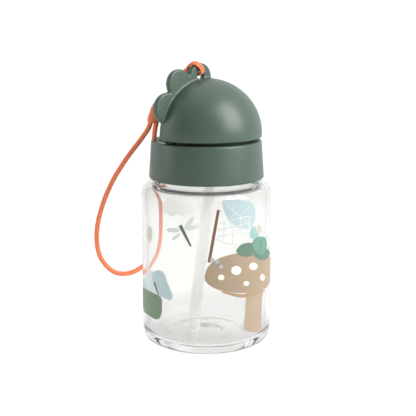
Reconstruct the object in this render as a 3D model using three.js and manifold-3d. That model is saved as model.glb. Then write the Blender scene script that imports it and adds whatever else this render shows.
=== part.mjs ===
// Kids drinking bottle: clear body, screw lid with a flip-open dome, folding mouthpiece, straw and hanging strap.
// Millimetres. Origin at the centre of the underside, +Z up, the dome opens towards +Y and the drinker is at -Y.
import * as THREE from "three";
import { mergeVertices } from "three/addons/utils/BufferGeometryUtils.js";
import Module from "manifold-3d";

const wasm = await Module();
wasm.setup();
const { Manifold, Mesh } = wasm;

// ---------------------------------------------------------------- sizes
const GAP = 0.3; // clearance between neighbours
const ROUND = 48; // segments of the large turned shapes

const BODY_R = 36.5;
const BODY_WALL = 2.2;
const BASE_ROUND = 6;
const SHOULDER_Z = 91;
const SHOULDER_ROUND = 6;
const FLOOR_Z = 4.6;
const NECK_R = 28.3;
const NECK_BORE_R = 25.8;
const NECK_TOP_Z = 107.6;
const THREAD_R = 28.9;

const COLLAR_LOW_Z = 93.3;
const COLLAR_LOW_R = 32.2;
const COLLAR_TOP_Z = 114.34;
const COLLAR_TOP_R = 30.7;
const SKIRT_BORE_R = 29.6;
const FLANGE_Z = 112.8;
const FLANGE_BORE_R = 26.5;
const LIP_R = 25.4; // raised front wall of the deck, inside the dome
const LIP_IN_R = 24.4;
const LIP_TOP_Z = 118.2;
const LIP_BACK_Y = -4.3;

const DECK_R = 29.2;
const DECK_LOW_Z = 110.3;
const DECK_TOP_Z = 112.5;

const GASKET_R = 28.7;
const GASKET_BORE_R = 25.7;
const GASKET_LOW_Z = 107.95;
const GASKET_TOP_Z = 109.95;

const HINGE_Z = 117.96;
const EAR_IN_X = 22.8;
const EAR_OUT_X = 25.4;
const EAR_R = 3.6;
const PIN_R = 1.4;
const PIN_BORE_R = 1.7;
const PIN_IN_X = 22.9;
const PIN_OUT_X = 28.2;
const BOSS_R = 3.2;
const BOSS_IN_X = 25.9;

const DOME_R = 30.2; // upright radius
const DOME_SPREAD = 1.022; // it is a little wider than it is tall
const DOME_WALL = 2.2;
const DOME_LOW_Z = 115.99;
const PLATE_FRONT_Y = -0.42;
const PLATE_BACK_Y = 2.9;
const LOBES = [
  [-4.2, 30.85, 7.65],
  [-18.5, 27.9, 7.7],
  [-26.5, 15.1, 8.4],
]; // x, height above the hinge, radius
const HOLE = [-4.3, 31.75, 2.4];

const SPOUT_Y = -6.5;
const SPOUT_BALL_Z = 118.2;
const SPOUT_BALL_R = 3.9;
const SPOUT_TIP_R = 3.2;
const SPOUT_LENGTH = 15.5;
const SPOUT_FOLD = 63; // degrees away from upright when the dome is shut

const STRAW_R = 3.4;
const STRAW_BORE_R = 2.6;
const STRAW_TOP = [0, SPOUT_Y, 109.0];
const STRAW_END = [-23.5, -15.5, 6.0];

const CORD_R = 1.4;
const THIN_CORD_R = 0.75;
const KNOT = [-9.3, 5.7, 151.9];
const KNOT_R = 1.9;
const CONNECTOR_TOP = [-22.0, 17.9, 132.6];
const CONNECTOR_END = [-20.1, 22.0, 123.5];
const STRAND_SPACING = 1.6;
const TAIL_SAG = new THREE.Vector3(0.4, 0, -1.5);
const FLAT_WIDE = [0.766, -0.643, 0]; // the connector's wide direction

// centre line of the big loop, from one side of the connector's lower end round to the other
const LOOP_POINTS = [
  [-21.8, 24.8, 119.5],
  [-23.2, 27.5, 115.4],
  [-25.3, 30.5, 110.6],
  [-27.2, 32.8, 106.9],
  [-28.9, 34.8, 103.4],
  [-32.0, 38.4, 96.5],
  [-34.8, 41.6, 89.5],
  [-38.3, 45.3, 78.6],
  [-39.9, 47.2, 71.5],
  [-41.0, 48.9, 64.3],
  [-41.4, 49.9, 57.0],
  [-40.7, 50.6, 49.6],
  [-38.7, 50.7, 42.8],
  [-35.4, 49.8, 37.3],
  [-30.7, 48.3, 32.8],
  [-24.9, 46.3, 31.1],
  [-18.9, 44.4, 31.9],
  [-12.9, 43.0, 35.0],
  [-7.8, 41.6, 39.9],
  [-4.8, 41.4, 45.5],
  [-3.4, 41.3, 52.7],
  [-2.8, 41.5, 60.0],
  [-2.6, 41.6, 67.3],
  [-3.3, 41.5, 74.1],
  [-4.7, 41.3, 80.7],
  [-7.5, 39.7, 88.8],
  [-9.7, 37.1, 97.1],
  [-11.6, 34.0, 105.6],
  [-13.3, 30.8, 112.4],
  [-15.8, 26.6, 118.0],
];

const COLOURS = {
  clear: { color: 0xdfe3e2, roughness: 0.08, metalness: 0, transparent: true, opacity: 0.3 },
  green: { color: 0x5a6a5c, roughness: 0.5, metalness: 0 },
  silicone: { color: 0xe8e6df, roughness: 0.55, metalness: 0 },
  straw: { color: 0xe6e8e6, roughness: 0.35, metalness: 0, transparent: true, opacity: 0.8 },
  orange: { color: 0xe07a52, roughness: 0.6, metalness: 0 },
  pin: { color: 0xb9bbb8, roughness: 0.3, metalness: 0.9 },
};

// ---------------------------------------------------------------- helpers
function solidFrom(geometry) {
  const bare = geometry.index ? geometry.toNonIndexed() : geometry.clone();
  for (const name of ["normal", "uv"]) bare.deleteAttribute(name);
  const merged = mergeVertices(bare, 1e-4);
  const vertProperties = new Float32Array(merged.attributes.position.array);
  let triVerts = new Uint32Array(merged.index.array);
  const keep = [];
  for (let i = 0; i < triVerts.length; i += 3) {
    const [a, b, c] = [triVerts[i], triVerts[i + 1], triVerts[i + 2]];
    if (a !== b && b !== c && a !== c) keep.push(a, b, c);
  }
  triVerts = new Uint32Array(keep);
  let made = new Manifold(new Mesh({ numProp: 3, vertProperties, triVerts }));
  if (made.volume() < 0) {
    for (let i = 0; i < triVerts.length; i += 3)
      [triVerts[i + 1], triVerts[i + 2]] = [triVerts[i + 2], triVerts[i + 1]];
    made = new Manifold(new Mesh({ numProp: 3, vertProperties, triVerts }));
  }
  return made;
}

// turned solid about Z from [radius, height] points
function turned(points, segments = ROUND) {
  const closed = points[0][0] < 1e-6 ? points : [...points, points[0]];
  const g = new THREE.LatheGeometry(
    closed.map(([r, z]) => new THREE.Vector2(r, z)),
    segments,
  );
  g.rotateX(Math.PI / 2);
  return solidFrom(g);
}

function box(x0, x1, y0, y1, z0, z1) {
  const g = new THREE.BoxGeometry(x1 - x0, y1 - y0, z1 - z0);
  g.translate((x0 + x1) / 2, (y0 + y1) / 2, (z0 + z1) / 2);
  return solidFrom(g);
}

function cylinderX(x0, x1, r, y, z, segments = 20) {
  const g = new THREE.CylinderGeometry(r, r, x1 - x0, segments);
  g.rotateZ(Math.PI / 2);
  g.translate((x0 + x1) / 2, y, z);
  return solidFrom(g);
}

function cylinderZ(z0, z1, r, x, y, segments = 20) {
  const g = new THREE.CylinderGeometry(r, r, z1 - z0, segments);
  g.rotateX(Math.PI / 2);
  g.translate(x, y, (z0 + z1) / 2);
  return solidFrom(g);
}

// disc with eased edges, axis along Y
function coin(x, z, r, y0, y1, ease, segments, spread = 1) {
  const g = new THREE.LatheGeometry(
    [
      [0, y0],
      [r - ease, y0],
      [r - 0.3 * ease, y0 + 0.3 * ease],
      [r, y0 + ease],
      [r, y1 - ease],
      [r - 0.3 * ease, y1 - 0.3 * ease],
      [r - ease, y1],
      [0, y1],
    ].map(([a, b]) => new THREE.Vector2(a, b)),
    segments,
  );
  g.scale(spread, 1, 1);
  g.translate(x, 0, z);
  return solidFrom(g);
}

function ball(r, x, y, z, w = 24, h = 16) {
  const g = new THREE.SphereGeometry(r, w, h);
  g.rotateX(Math.PI / 2);
  g.translate(x, y, z);
  return solidFrom(g);
}

// round bar between two points, each end with its own radius
function bar(from, to, r0, r1, segments = 20) {
  const a = new THREE.Vector3(...from);
  const b = new THREE.Vector3(...to);
  const g = new THREE.CylinderGeometry(r1, r0, a.distanceTo(b), segments);
  g.applyQuaternion(
    new THREE.Quaternion().setFromUnitVectors(
      new THREE.Vector3(0, 1, 0),
      b.clone().sub(a).normalize(),
    ),
  );
  const m = a.add(b).multiplyScalar(0.5);
  g.translate(m.x, m.y, m.z);
  return solidFrom(g);
}

// cord of a given half width and half thickness along points
function cord(points, r, steps, sides = 8, thick = r) {
  const path = new THREE.CatmullRomCurve3(
    points.map((q) => new THREE.Vector3(...q)),
    false,
    "centripetal",
  );
  const outline = [];
  for (let i = 0; i < sides; i++) {
    const a = ((i + 0.5) / sides) * Math.PI * 2;
    outline.push(new THREE.Vector2(r * Math.cos(a), thick * Math.sin(a)));
  }
  return solidFrom(
    new THREE.ExtrudeGeometry(new THREE.Shape(outline), {
      steps,
      extrudePath: path,
      bevelEnabled: false,
    }),
  );
}

const group = new THREE.Group();
group.name = "kids_drinking_bottle";

function place(name, solid, look) {
  const mesh = solid.getMesh();
  const g = new THREE.BufferGeometry();
  const pos = new Float32Array(mesh.numVert * 3);
  for (let i = 0; i < mesh.numVert; i++)
    for (let k = 0; k < 3; k++) pos[3 * i + k] = mesh.vertProperties[i * mesh.numProp + k];
  g.setAttribute("position", new THREE.BufferAttribute(pos, 3));
  g.setIndex(new THREE.BufferAttribute(new Uint32Array(mesh.triVerts), 1));
  const flat = g.toNonIndexed();
  flat.computeVertexNormals();
  const m = new THREE.Mesh(flat, new THREE.MeshStandardMaterial(COLOURS[look]));
  m.name = name;
  group.add(m);
}

const arc = (r0, z0, r, from, to, n) =>
  Array.from({ length: n + 1 }, (_, i) => {
    const a = ((from + ((to - from) * i) / n) * Math.PI) / 180;
    return [r0 + r * Math.cos(a), z0 + r * Math.sin(a)];
  });

// ---------------------------------------------------------------- bottle body
{
  const inR = BODY_R - BODY_WALL;
  place(
    "bottle_body",
    turned([
      [0, 1.9],
      [8.3, 1.9],
      [8.9, 1.3],
      [20, 1.3],
      [22.5, 0],
      [BODY_R - BASE_ROUND, 0],
      ...arc(BODY_R - BASE_ROUND, BASE_ROUND, BASE_ROUND, -67.5, 0, 3),
      ...arc(BODY_R - SHOULDER_ROUND, SHOULDER_Z - SHOULDER_ROUND, SHOULDER_ROUND, 0, 90, 4),
      [NECK_R + 0.8, SHOULDER_Z + 0.1],
      [NECK_R, SHOULDER_Z + 0.9],
      [NECK_R, 97.6],
      [THREAD_R, 98.2],
      [THREAD_R, 98.9],
      [NECK_R, 99.5],
      [NECK_R, 103.2],
      [THREAD_R, 103.8],
      [THREAD_R, 104.5],
      [NECK_R, 105.1],
      [NECK_R, NECK_TOP_Z],
      [NECK_BORE_R, NECK_TOP_Z],
      [NECK_BORE_R, SHOULDER_Z - 0.8],
      [NECK_BORE_R + 0.8, SHOULDER_Z - 2.4],
      ...arc(inR - 4, SHOULDER_Z - 2.6 - 4, 4, 75, 0, 3),
      ...arc(inR - 5, FLOOR_Z + 5, 5, 0, -90, 4),
      [0, FLOOR_Z],
    ]),
    "clear",
  );
}

// ---------------------------------------------------------------- lid collar
{
  const collar = turned([
    [SKIRT_BORE_R, COLLAR_LOW_Z],
    [COLLAR_LOW_R - 1.3, COLLAR_LOW_Z],
    [COLLAR_LOW_R - 0.35, COLLAR_LOW_Z + 0.4],
    [COLLAR_LOW_R - 0.08, COLLAR_LOW_Z + 1.4],
    [COLLAR_TOP_R + 0.1, COLLAR_TOP_Z - 1.2],
    [COLLAR_TOP_R - 0.3, COLLAR_TOP_Z - 0.32],
    [COLLAR_TOP_R - 1.2, COLLAR_TOP_Z],
    [FLANGE_BORE_R, COLLAR_TOP_Z],
    [FLANGE_BORE_R, FLANGE_Z],
    [SKIRT_BORE_R, FLANGE_Z],
    [SKIRT_BORE_R, 102.2],
    [SKIRT_BORE_R - 0.35, 101.7],
    [SKIRT_BORE_R - 0.35, 100.9],
    [SKIRT_BORE_R, 100.4],
  ]);
  place("lid_collar", collar, "green");
}

// ---------------------------------------------------------------- lid deck with hinge ears
{
  let deck = turned([
    [0, DECK_LOW_Z],
    [DECK_R, DECK_LOW_Z],
    [DECK_R, DECK_TOP_Z],
    [0, DECK_TOP_Z],
  ]);
  const lip = turned([
    [LIP_IN_R, DECK_TOP_Z - 0.5],
    [LIP_R, DECK_TOP_Z - 0.5],
    [LIP_R, LIP_TOP_Z - 0.4],
    [LIP_R - 0.4, LIP_TOP_Z],
    [LIP_IN_R, LIP_TOP_Z],
  ]).intersect(box(-40, 40, -40, LIP_BACK_Y, 100, 130));
  deck = deck.add(lip);
  deck = deck.add(cylinderZ(106.8, DECK_LOW_Z + 0.5, 5.6, 0, SPOUT_Y, 24));
  deck = deck.subtract(cylinderZ(106, DECK_LOW_Z, 4.5, 0, SPOUT_Y, 24));
  for (const s of [-1, 1]) {
    const x0 = s < 0 ? -EAR_OUT_X : EAR_IN_X;
    const x1 = s < 0 ? -EAR_IN_X : EAR_OUT_X;
    deck = deck.add(cylinderX(x0, x1, EAR_R, 0, HINGE_Z, 24));
    deck = deck.add(box(x0, x1, -EAR_R, EAR_R, DECK_TOP_Z - 0.5, HINGE_Z));
    deck = deck.subtract(cylinderX(x0 - 1, x1 + 1, PIN_BORE_R, 0, HINGE_Z, 16));
  }
  deck = deck.subtract(cylinderZ(100, 120, 3.5, 0, SPOUT_Y, 24));
  deck = deck.subtract(cylinderZ(100, 120, 1.9, 0, 14, 16));
  place("lid_deck", deck, "green");
}

place(
  "lid_gasket",
  turned([
    [GASKET_BORE_R, GASKET_LOW_Z],
    [GASKET_R, GASKET_LOW_Z],
    [GASKET_R, GASKET_TOP_Z],
    [GASKET_BORE_R, GASKET_TOP_Z],
  ]),
  "silicone",
);

// ---------------------------------------------------------------- air valve
place(
  "vent_valve",
  solidFrom(
    new THREE.LatheGeometry(
      [
        [0, 109.2],
        [2.4, 109.6],
        [2.4, 110.0],
        [1.5, 110.0],
        [1.5, 112.8],
        [3.6, 112.8],
        [3.2, 113.6],
        [0, 113.8],
      ].map(([r, z]) => new THREE.Vector2(r, z)),
      20,
    )
      .rotateX(Math.PI / 2)
      .translate(0, 14, 0),
  ),
  "silicone",
);

// ---------------------------------------------------------------- mouthpiece
{
  const base = solidFrom(
    new THREE.LatheGeometry(
      [
        [1.6, 110.3],
        [3.2, 110.3],
        [3.2, 112.8],
        [5.4, 112.8],
        [5.4, 113.5],
        [4.9, 114.0],
        [1.6, 114.0],
        [1.6, 110.3],
      ].map(([r, z]) => new THREE.Vector2(r, z)),
      24,
    )
      .rotateX(Math.PI / 2)
      .translate(0, SPOUT_Y, 0),
  );
  place("mouthpiece_base", base, "silicone");

  const a = (SPOUT_FOLD * Math.PI) / 180;
  const dir = [0, -Math.sin(a), Math.cos(a)];
  const at = (d) => [0, SPOUT_Y + dir[1] * d, SPOUT_BALL_Z + dir[2] * d];
  let tip = ball(SPOUT_BALL_R, ...at(0), 20, 12);
  tip = tip.add(bar(at(0), at(SPOUT_LENGTH - 1), SPOUT_BALL_R - 0.1, SPOUT_TIP_R, 20));
  tip = tip.add(bar(at(SPOUT_LENGTH - 1.01), at(SPOUT_LENGTH), SPOUT_TIP_R, SPOUT_TIP_R - 0.8, 20));
  tip = tip.subtract(bar(at(-8), at(SPOUT_LENGTH + 2), 1.3, 1.3, 12));
  place("mouthpiece_tip", tip, "silicone");
}

// ---------------------------------------------------------------- straw
{
  const a = new THREE.Vector3(...STRAW_TOP);
  const d = new THREE.Vector3(...STRAW_END).sub(a).normalize();
  const b = new THREE.Vector3(...STRAW_END);
  const straw = bar(a.toArray(), b.toArray(), STRAW_R, STRAW_R, 20).subtract(
    bar(
      a.clone().addScaledVector(d, -2).toArray(),
      b.clone().addScaledVector(d, 2).toArray(),
      STRAW_BORE_R,
      STRAW_BORE_R,
      16,
    ),
  );
  place("straw", straw, "straw");
}

// ---------------------------------------------------------------- dome cover
{
  const wideBall = (r) => {
    const g = new THREE.SphereGeometry(r, 48, 24);
    g.rotateX(Math.PI / 2);
    g.scale(DOME_SPREAD, DOME_SPREAD, 1);
    g.translate(0, 0, HINGE_Z);
    return solidFrom(g);
  };
  let dome = wideBall(DOME_R)
    .subtract(wideBall(DOME_R - DOME_WALL))
    .intersect(box(-40, 40, -40, 0.5, DOME_LOW_Z, 160));
  let plate = coin(0, HINGE_Z, DOME_R, PLATE_FRONT_Y, PLATE_BACK_Y, 0.8, 64, DOME_SPREAD);
  for (const [x, v, r] of LOBES)
    plate = plate.add(coin(x, HINGE_Z + v, r, PLATE_FRONT_Y, PLATE_BACK_Y, 0.8, 28));
  plate = plate.intersect(box(-60, 60, -5, 5, DOME_LOW_Z, 180));
  for (const s of [-1, 1]) {
    const x0 = s < 0 ? -EAR_OUT_X - 0.5 : EAR_IN_X - 0.5;
    const x1 = s < 0 ? -EAR_IN_X + 0.5 : EAR_OUT_X + 0.5;
    plate = plate.subtract(box(x0, x1, -6, 6, 110, HINGE_Z + EAR_R + 0.35));
  }
  // eased lower back edge, so that it clears the collar as the dome turns
  const bevel = new THREE.BoxGeometry(80, 2.2, 2.2);
  bevel.rotateX(Math.PI / 4);
  bevel.translate(0, PLATE_BACK_Y + 0.55, DOME_LOW_Z - 0.55);
  plate = plate.subtract(solidFrom(bevel));
  plate = plate.subtract(
    solidFrom(new THREE.CylinderGeometry(HOLE[2], HOLE[2], 20, 28).translate(HOLE[0], 0, HINGE_Z + HOLE[1])),
  );
  dome = dome.add(plate);
  for (const s of [-1, 1]) {
    const x0 = s < 0 ? -DOME_R + 1.2 : BOSS_IN_X;
    const x1 = s < 0 ? -BOSS_IN_X : DOME_R - 1.2;
    dome = dome.add(cylinderX(x0, x1, BOSS_R, 0, HINGE_Z, 24));
    const b0 = s < 0 ? -PIN_OUT_X - 0.4 : BOSS_IN_X - 1;
    const b1 = s < 0 ? -BOSS_IN_X + 1 : PIN_OUT_X + 0.4;
    dome = dome.subtract(cylinderX(b0, b1, PIN_BORE_R, 0, HINGE_Z, 16));
  }
  place("dome_cover", dome, "green");
}

place("pivot_pin_left", cylinderX(-PIN_OUT_X, -PIN_IN_X, PIN_R, 0, HINGE_Z, 16), "pin");
place("pivot_pin_right", cylinderX(PIN_IN_X, PIN_OUT_X, PIN_R, 0, HINGE_Z, 16), "pin");

// ---------------------------------------------------------------- strap
{
  // hitch: through the hole, over the first lobe's edge and back to the knot
  const wrap = [
    [KNOT[0], KNOT[1], KNOT[2]],
    [-6.9, 4.9, 150.5],
    [-5.2, 3.9, 150.3],
    [-4.4, 1.9, 150.4],
    [-4.1, -0.1, 150.6],
    [-4.0, -1.3, 151.4],
    [-4.3, -1.6, 152.8],
    [-5.2, -1.55, 154.2],
    [-6.5, -1.45, 155.6],
    [-7.65, -0.85, 156.4],
    [-8.2, 0.6, 156.6],
    [-8.65, 2.2, 156.35],
    [-8.95, 3.65, 155.3],
    [-9.0, 4.6, 154.0],
    [-9.1, 5.2, 152.9],
  ];
  place(
    "strap_hitch",
    cord(wrap, THIN_CORD_R, 34, 8, THIN_CORD_R).add(ball(KNOT_R, ...KNOT, 12, 8)),
    "orange",
  );

  const top = new THREE.Vector3(...CONNECTOR_TOP);
  const end = new THREE.Vector3(...CONNECTOR_END);
  const axis = end.clone().sub(top).normalize();
  const wide = new THREE.Vector3(...FLAT_WIDE);
  wide.addScaledVector(axis, -wide.dot(axis)).normalize();
  const flat = new THREE.Vector3().crossVectors(axis, wide);
  const off = (q, w, t) => q.clone().addScaledVector(wide, w).addScaledVector(axis, t).toArray();

  // tails from the knot to the connector
  const knot = new THREE.Vector3(...KNOT);
  const way = top.clone().sub(knot).normalize();
  const tail = (s) => {
    const start = knot.clone().addScaledVector(way, KNOT_R + 0.75).addScaledVector(wide, s * 1.15);
    const mid = knot.clone().lerp(top, 0.5).add(TAIL_SAG).addScaledVector(wide, s * 1.3);
    return [start.toArray(), mid.toArray(), off(top, s * 1.1, -0.75)];
  };
  place("strap_tail_left", cord(tail(-1), THIN_CORD_R, 10), "orange");
  place("strap_tail_right", cord(tail(1), THIN_CORD_R, 10), "orange");

  // connector: tapered, flattened
  const long = top.distanceTo(end);
  const g = new THREE.LatheGeometry(
    [
      [0, 0],
      [1.7, 0],
      [2.3, 0.7],
      [2.6, 3.2],
      [3.4, 6.4],
      [3.6, long - 1.0],
      [3.1, long],
      [0, long],
    ].map(([r, z]) => new THREE.Vector2(r, z)),
    20,
  );
  g.scale(1, 1, 0.56);
  g.applyMatrix4(new THREE.Matrix4().makeBasis(wide, axis, flat.clone().negate()));
  g.translate(top.x, top.y, top.z);
  place("strap_connector", solidFrom(g), "orange");

  const loop = [
    off(end, -STRAND_SPACING, 1.1),
    ...LOOP_POINTS,
    off(end, STRAND_SPACING, 1.1),
  ];
  place("strap_loop", cord(loop, CORD_R, 76), "orange");
}

export default group;
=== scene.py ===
import json
import math
import bmesh
import bpy
from mathutils import Matrix, Vector


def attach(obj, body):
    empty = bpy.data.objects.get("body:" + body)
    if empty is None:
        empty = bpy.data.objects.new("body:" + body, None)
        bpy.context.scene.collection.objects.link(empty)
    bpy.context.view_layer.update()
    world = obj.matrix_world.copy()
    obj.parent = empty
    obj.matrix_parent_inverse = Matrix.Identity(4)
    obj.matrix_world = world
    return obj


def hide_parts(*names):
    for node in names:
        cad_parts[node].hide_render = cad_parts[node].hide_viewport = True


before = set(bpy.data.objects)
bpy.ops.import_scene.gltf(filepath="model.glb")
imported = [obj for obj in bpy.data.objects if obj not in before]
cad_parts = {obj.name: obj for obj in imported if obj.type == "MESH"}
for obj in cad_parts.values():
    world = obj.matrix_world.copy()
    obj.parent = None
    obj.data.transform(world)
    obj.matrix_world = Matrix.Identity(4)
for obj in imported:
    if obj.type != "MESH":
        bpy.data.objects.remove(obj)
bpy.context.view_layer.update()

MM = 0.001
scene = bpy.context.scene

# ------------------------------------------------------------------ camera
AZ = math.radians(-40.0)
RIGHT = Vector((math.cos(AZ), math.sin(AZ), 0))
AWAY = Vector((-math.sin(AZ), math.cos(AZ), 0))
PITCH = math.radians(12.048)
cam_data = bpy.data.cameras.new("camera")
cam_data.sensor_width = 36.0
cam_data.lens = 905.5 / 416.0 * 36.0
cam_data.clip_start = 0.01
cam = bpy.data.objects.new("camera", cam_data)
scene.collection.objects.link(cam)
look = AWAY * math.cos(PITCH) - Vector((0, 0, 1)) * math.sin(PITCH)
cam.location = RIGHT * 0.000896 - AWAY * 0.5 + Vector((0, 0, 0.18203))
cam.rotation_euler = look.to_track_quat("-Z", "Y").to_euler()
scene.camera = cam


# ------------------------------------------------------------------ materials
def nodes_of(name):
    m = bpy.data.materials.new(name)
    m.use_nodes = True
    nt = m.node_tree
    return m, nt, nt.nodes["Principled BSDF"]


def noise_bump(nt, shader, scale, strength, distance, detail=4.0, rough=0.55):
    tc = nt.nodes.new("ShaderNodeTexCoord")
    n = nt.nodes.new("ShaderNodeTexNoise")
    n.inputs["Scale"].default_value = scale
    n.inputs["Detail"].default_value = detail
    n.inputs["Roughness"].default_value = rough
    nt.links.new(tc.outputs["Object"], n.inputs["Vector"])
    b = nt.nodes.new("ShaderNodeBump")
    b.inputs["Strength"].default_value = strength
    b.inputs["Distance"].default_value = distance
    nt.links.new(n.outputs["Fac"], b.inputs["Height"])
    nt.links.new(b.outputs["Normal"], shader.inputs["Normal"])
    return tc, n


def varied(nt, tc, low, high, scale, socket, detail=3.0):
    n = nt.nodes.new("ShaderNodeTexNoise")
    n.inputs["Scale"].default_value = scale
    n.inputs["Detail"].default_value = detail
    nt.links.new(tc.outputs["Object"], n.inputs["Vector"])
    r = nt.nodes.new("ShaderNodeValToRGB")
    r.color_ramp.elements[0].position = 0.32
    r.color_ramp.elements[1].position = 0.68
    if isinstance(low, float):
        low, high = (low,) * 3, (high,) * 3
    r.color_ramp.elements[0].color = (*low, 1)
    r.color_ramp.elements[1].color = (*high, 1)
    nt.links.new(n.outputs["Fac"], r.inputs["Fac"])
    nt.links.new(r.outputs["Color"], socket)


def srgb(r, g, b):
    def f(c):
        c /= 255.0
        return c / 12.92 if c <= 0.04045 else ((c + 0.055) / 1.055) ** 2.4
    return (f(r), f(g), f(b))


def tint(c, k):
    return tuple(max(0.0, min(1.0, x * k)) for x in c)


def plastic(name, colour, rough=(0.42, 0.52), bump=0.12, grain=5200.0, spread=0.05, coat=0.0, specular=0.5):
    m, nt, s = nodes_of(name)
    tc, _ = noise_bump(nt, s, grain, bump, 0.00004)
    varied(nt, tc, tint(colour, 1 - spread), tint(colour, 1 + spread), 60.0, s.inputs["Base Color"])
    varied(nt, tc, float(rough[0]), float(rough[1]), 240.0, s.inputs["Roughness"])
    s.inputs["Specular IOR Level"].default_value = specular
    s.inputs["Coat Weight"].default_value = coat
    return m


GREEN = srgb(66, 84, 72)
mat_green = plastic("green_lid_plastic", GREEN, rough=(0.36, 0.43), bump=0.14, coat=0.0)
# painted shade: the deck takes the lid green darkened by a tenth, standing in for the shade on the deck sunk inside the
# collar rim
mat_shaded_deck = plastic("green_deck_plastic", tint(GREEN, 0.9), rough=(0.45, 0.55), bump=0.2)
mat_silicone = plastic("white_silicone", srgb(226, 225, 219), rough=(0.5, 0.62), bump=0.25, grain=3600.0)
mat_silicone.node_tree.nodes["Principled BSDF"].inputs["Subsurface Weight"].default_value = 0.25
mat_silicone.node_tree.nodes["Principled BSDF"].inputs["Subsurface Radius"].default_value = (0.002, 0.0018, 0.0016)
mat_orange = plastic("orange_silicone_cord", srgb(243, 131, 82), rough=(0.48, 0.62), bump=0.3, grain=4200.0, spread=0.08)

m, nt, s = nodes_of("steel_pin")
mat_steel = m
s.inputs["Metallic"].default_value = 1.0
tc, _ = noise_bump(nt, s, 3000.0, 0.2, 0.00003)
varied(nt, tc, (0.55, 0.55, 0.54), (0.7, 0.7, 0.69), 400.0, s.inputs["Base Color"])
varied(nt, tc, 0.25, 0.4, 900.0, s.inputs["Roughness"])

m, nt, s = nodes_of("clear_bottle_plastic")
mat_clear = m
tc, _ = noise_bump(nt, s, 45.0, 0.05, 0.0003, 2.0)
lw = nt.nodes.new("ShaderNodeLayerWeight")
lw.inputs["Blend"].default_value = 0.35
edge = nt.nodes.new("ShaderNodeValToRGB")
edge.color_ramp.elements[0].position = 0.35
edge.color_ramp.elements[0].color = (0.918, 0.92, 0.913, 1)
edge.color_ramp.elements[1].position = 1.0
edge.color_ramp.elements[1].color = (0.5, 0.51, 0.5, 1)
nt.links.new(lw.outputs["Facing"], edge.inputs["Fac"])
# painted shade: the clear plastic's colour is darkened by height, towards the base and above the shoulder
axes_node = nt.nodes.new("ShaderNodeSeparateXYZ")
nt.links.new(tc.outputs["Object"], axes_node.inputs["Vector"])
range_node = nt.nodes.new("ShaderNodeMapRange")
range_node.inputs["From Max"].default_value = 0.1
nt.links.new(axes_node.outputs["Z"], range_node.inputs["Value"])
height_shade = nt.nodes.new("ShaderNodeValToRGB")
for rung, (share, shade) in enumerate(((0.0, 0.84), (0.12, 0.86), (0.18, 1.0), (0.76, 1.0), (0.83, 0.92), (1.0, 0.88))):
    rung_stop = height_shade.color_ramp.elements[rung] if rung < 2 else height_shade.color_ramp.elements.new(share)
    rung_stop.position = share
    rung_stop.color = (shade, shade, shade * 0.995, 1)
nt.links.new(range_node.outputs["Result"], height_shade.inputs["Fac"])
tinted = nt.nodes.new("ShaderNodeMix")
tinted.data_type = "RGBA"
tinted.blend_type = "MULTIPLY"
tinted.inputs[0].default_value = 1.0
nt.links.new(edge.outputs["Color"], tinted.inputs[6])
nt.links.new(height_shade.outputs["Color"], tinted.inputs[7])
nt.links.new(tinted.outputs[2], s.inputs["Base Color"])
varied(nt, tc, 0.015, 0.05, 120.0, s.inputs["Roughness"])
s.inputs["Transmission Weight"].default_value = 0.95
s.inputs["IOR"].default_value = 1.25

m, nt, s = nodes_of("translucent_straw")
mat_straw = m
tc, _ = noise_bump(nt, s, 2500.0, 0.1, 0.00003)
varied(nt, tc, srgb(200, 201, 197), srgb(210, 211, 207), 90.0, s.inputs["Base Color"])
varied(nt, tc, 0.3, 0.42, 300.0, s.inputs["Roughness"])
s.inputs["Alpha"].default_value = 0.16
s.inputs["Subsurface Weight"].default_value = 0.3
s.inputs["Subsurface Radius"].default_value = (0.002, 0.002, 0.002)


def ink(name, colour):
    return plastic("ink_" + name, colour, rough=(0.42, 0.55), bump=0.15, grain=6500.0, spread=0.035, specular=0.35)


INKS = {
    "tan": ink("tan", srgb(157, 139, 117)), "tan_light": ink("tan_light", srgb(163, 146, 125)),
    "tan_dark": ink("tan_dark", srgb(160, 135, 108)), "cream": ink("cream", srgb(232, 226, 212)),
    "green": ink("green", srgb(94, 121, 104)), "teal": ink("teal", srgb(103, 141, 125)),
    "green_dark": ink("green_dark", srgb(88, 120, 100)), "brown": ink("brown", srgb(120, 86, 66)),
    "grey": ink("grey", srgb(172, 174, 176)), "grey_dark": ink("grey_dark", srgb(112, 130, 142)),
    "pale": ink("pale", srgb(226, 230, 227)), "blue": ink("blue", srgb(192, 211, 213)),
    "blue_pale": ink("blue_pale", srgb(222, 231, 233)), "blue_dark": ink("blue_dark", srgb(140, 172, 166)),
    "pale_brown": ink("pale_brown", srgb(218, 212, 199)), "pot_green": ink("pot_green", srgb(122, 143, 116)),
    "olive": ink("olive", srgb(104, 118, 88)), "cloud": ink("cloud", srgb(247, 246, 240)), "lattice": ink("lattice", srgb(196, 201, 198)), "sky": ink("sky", srgb(164, 183, 185)),
    "vein": ink("vein", srgb(196, 202, 200)), "seed_brown": ink("seed_brown", srgb(178, 173, 161)),
}


# ------------------------------------------------------------------ mesh helpers
def finish_mesh(name, bm, material, body, replaces=(), angle=40):
    bmesh.ops.remove_doubles(bm, verts=bm.verts, dist=1e-7)
    bmesh.ops.recalc_face_normals(bm, faces=bm.faces)
    me = bpy.data.meshes.new(name)
    bm.to_mesh(me)
    bm.free()
    return dress(name, me, material, body, replaces, angle)


def smooth_by_angle(me, angle):
    me.polygons.foreach_set("use_smooth", [True] * len(me.polygons))
    bm = bmesh.new()
    bm.from_mesh(me)
    lim = math.radians(angle)
    for e in bm.edges:
        e.smooth = len(e.link_faces) == 2 and e.calc_face_angle(0.0) < lim
    bm.to_mesh(me)
    bm.free()


def dress(name, me, material, body, replaces=(), angle=40):
    me.materials.clear()
    me.materials.append(material)
    if angle:
        smooth_by_angle(me, angle)
    o = bpy.data.objects.new(name, me)
    scene.collection.objects.link(o)
    if body:
        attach(o, body)
    if replaces:
        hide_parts(*replaces)
    return o


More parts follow.
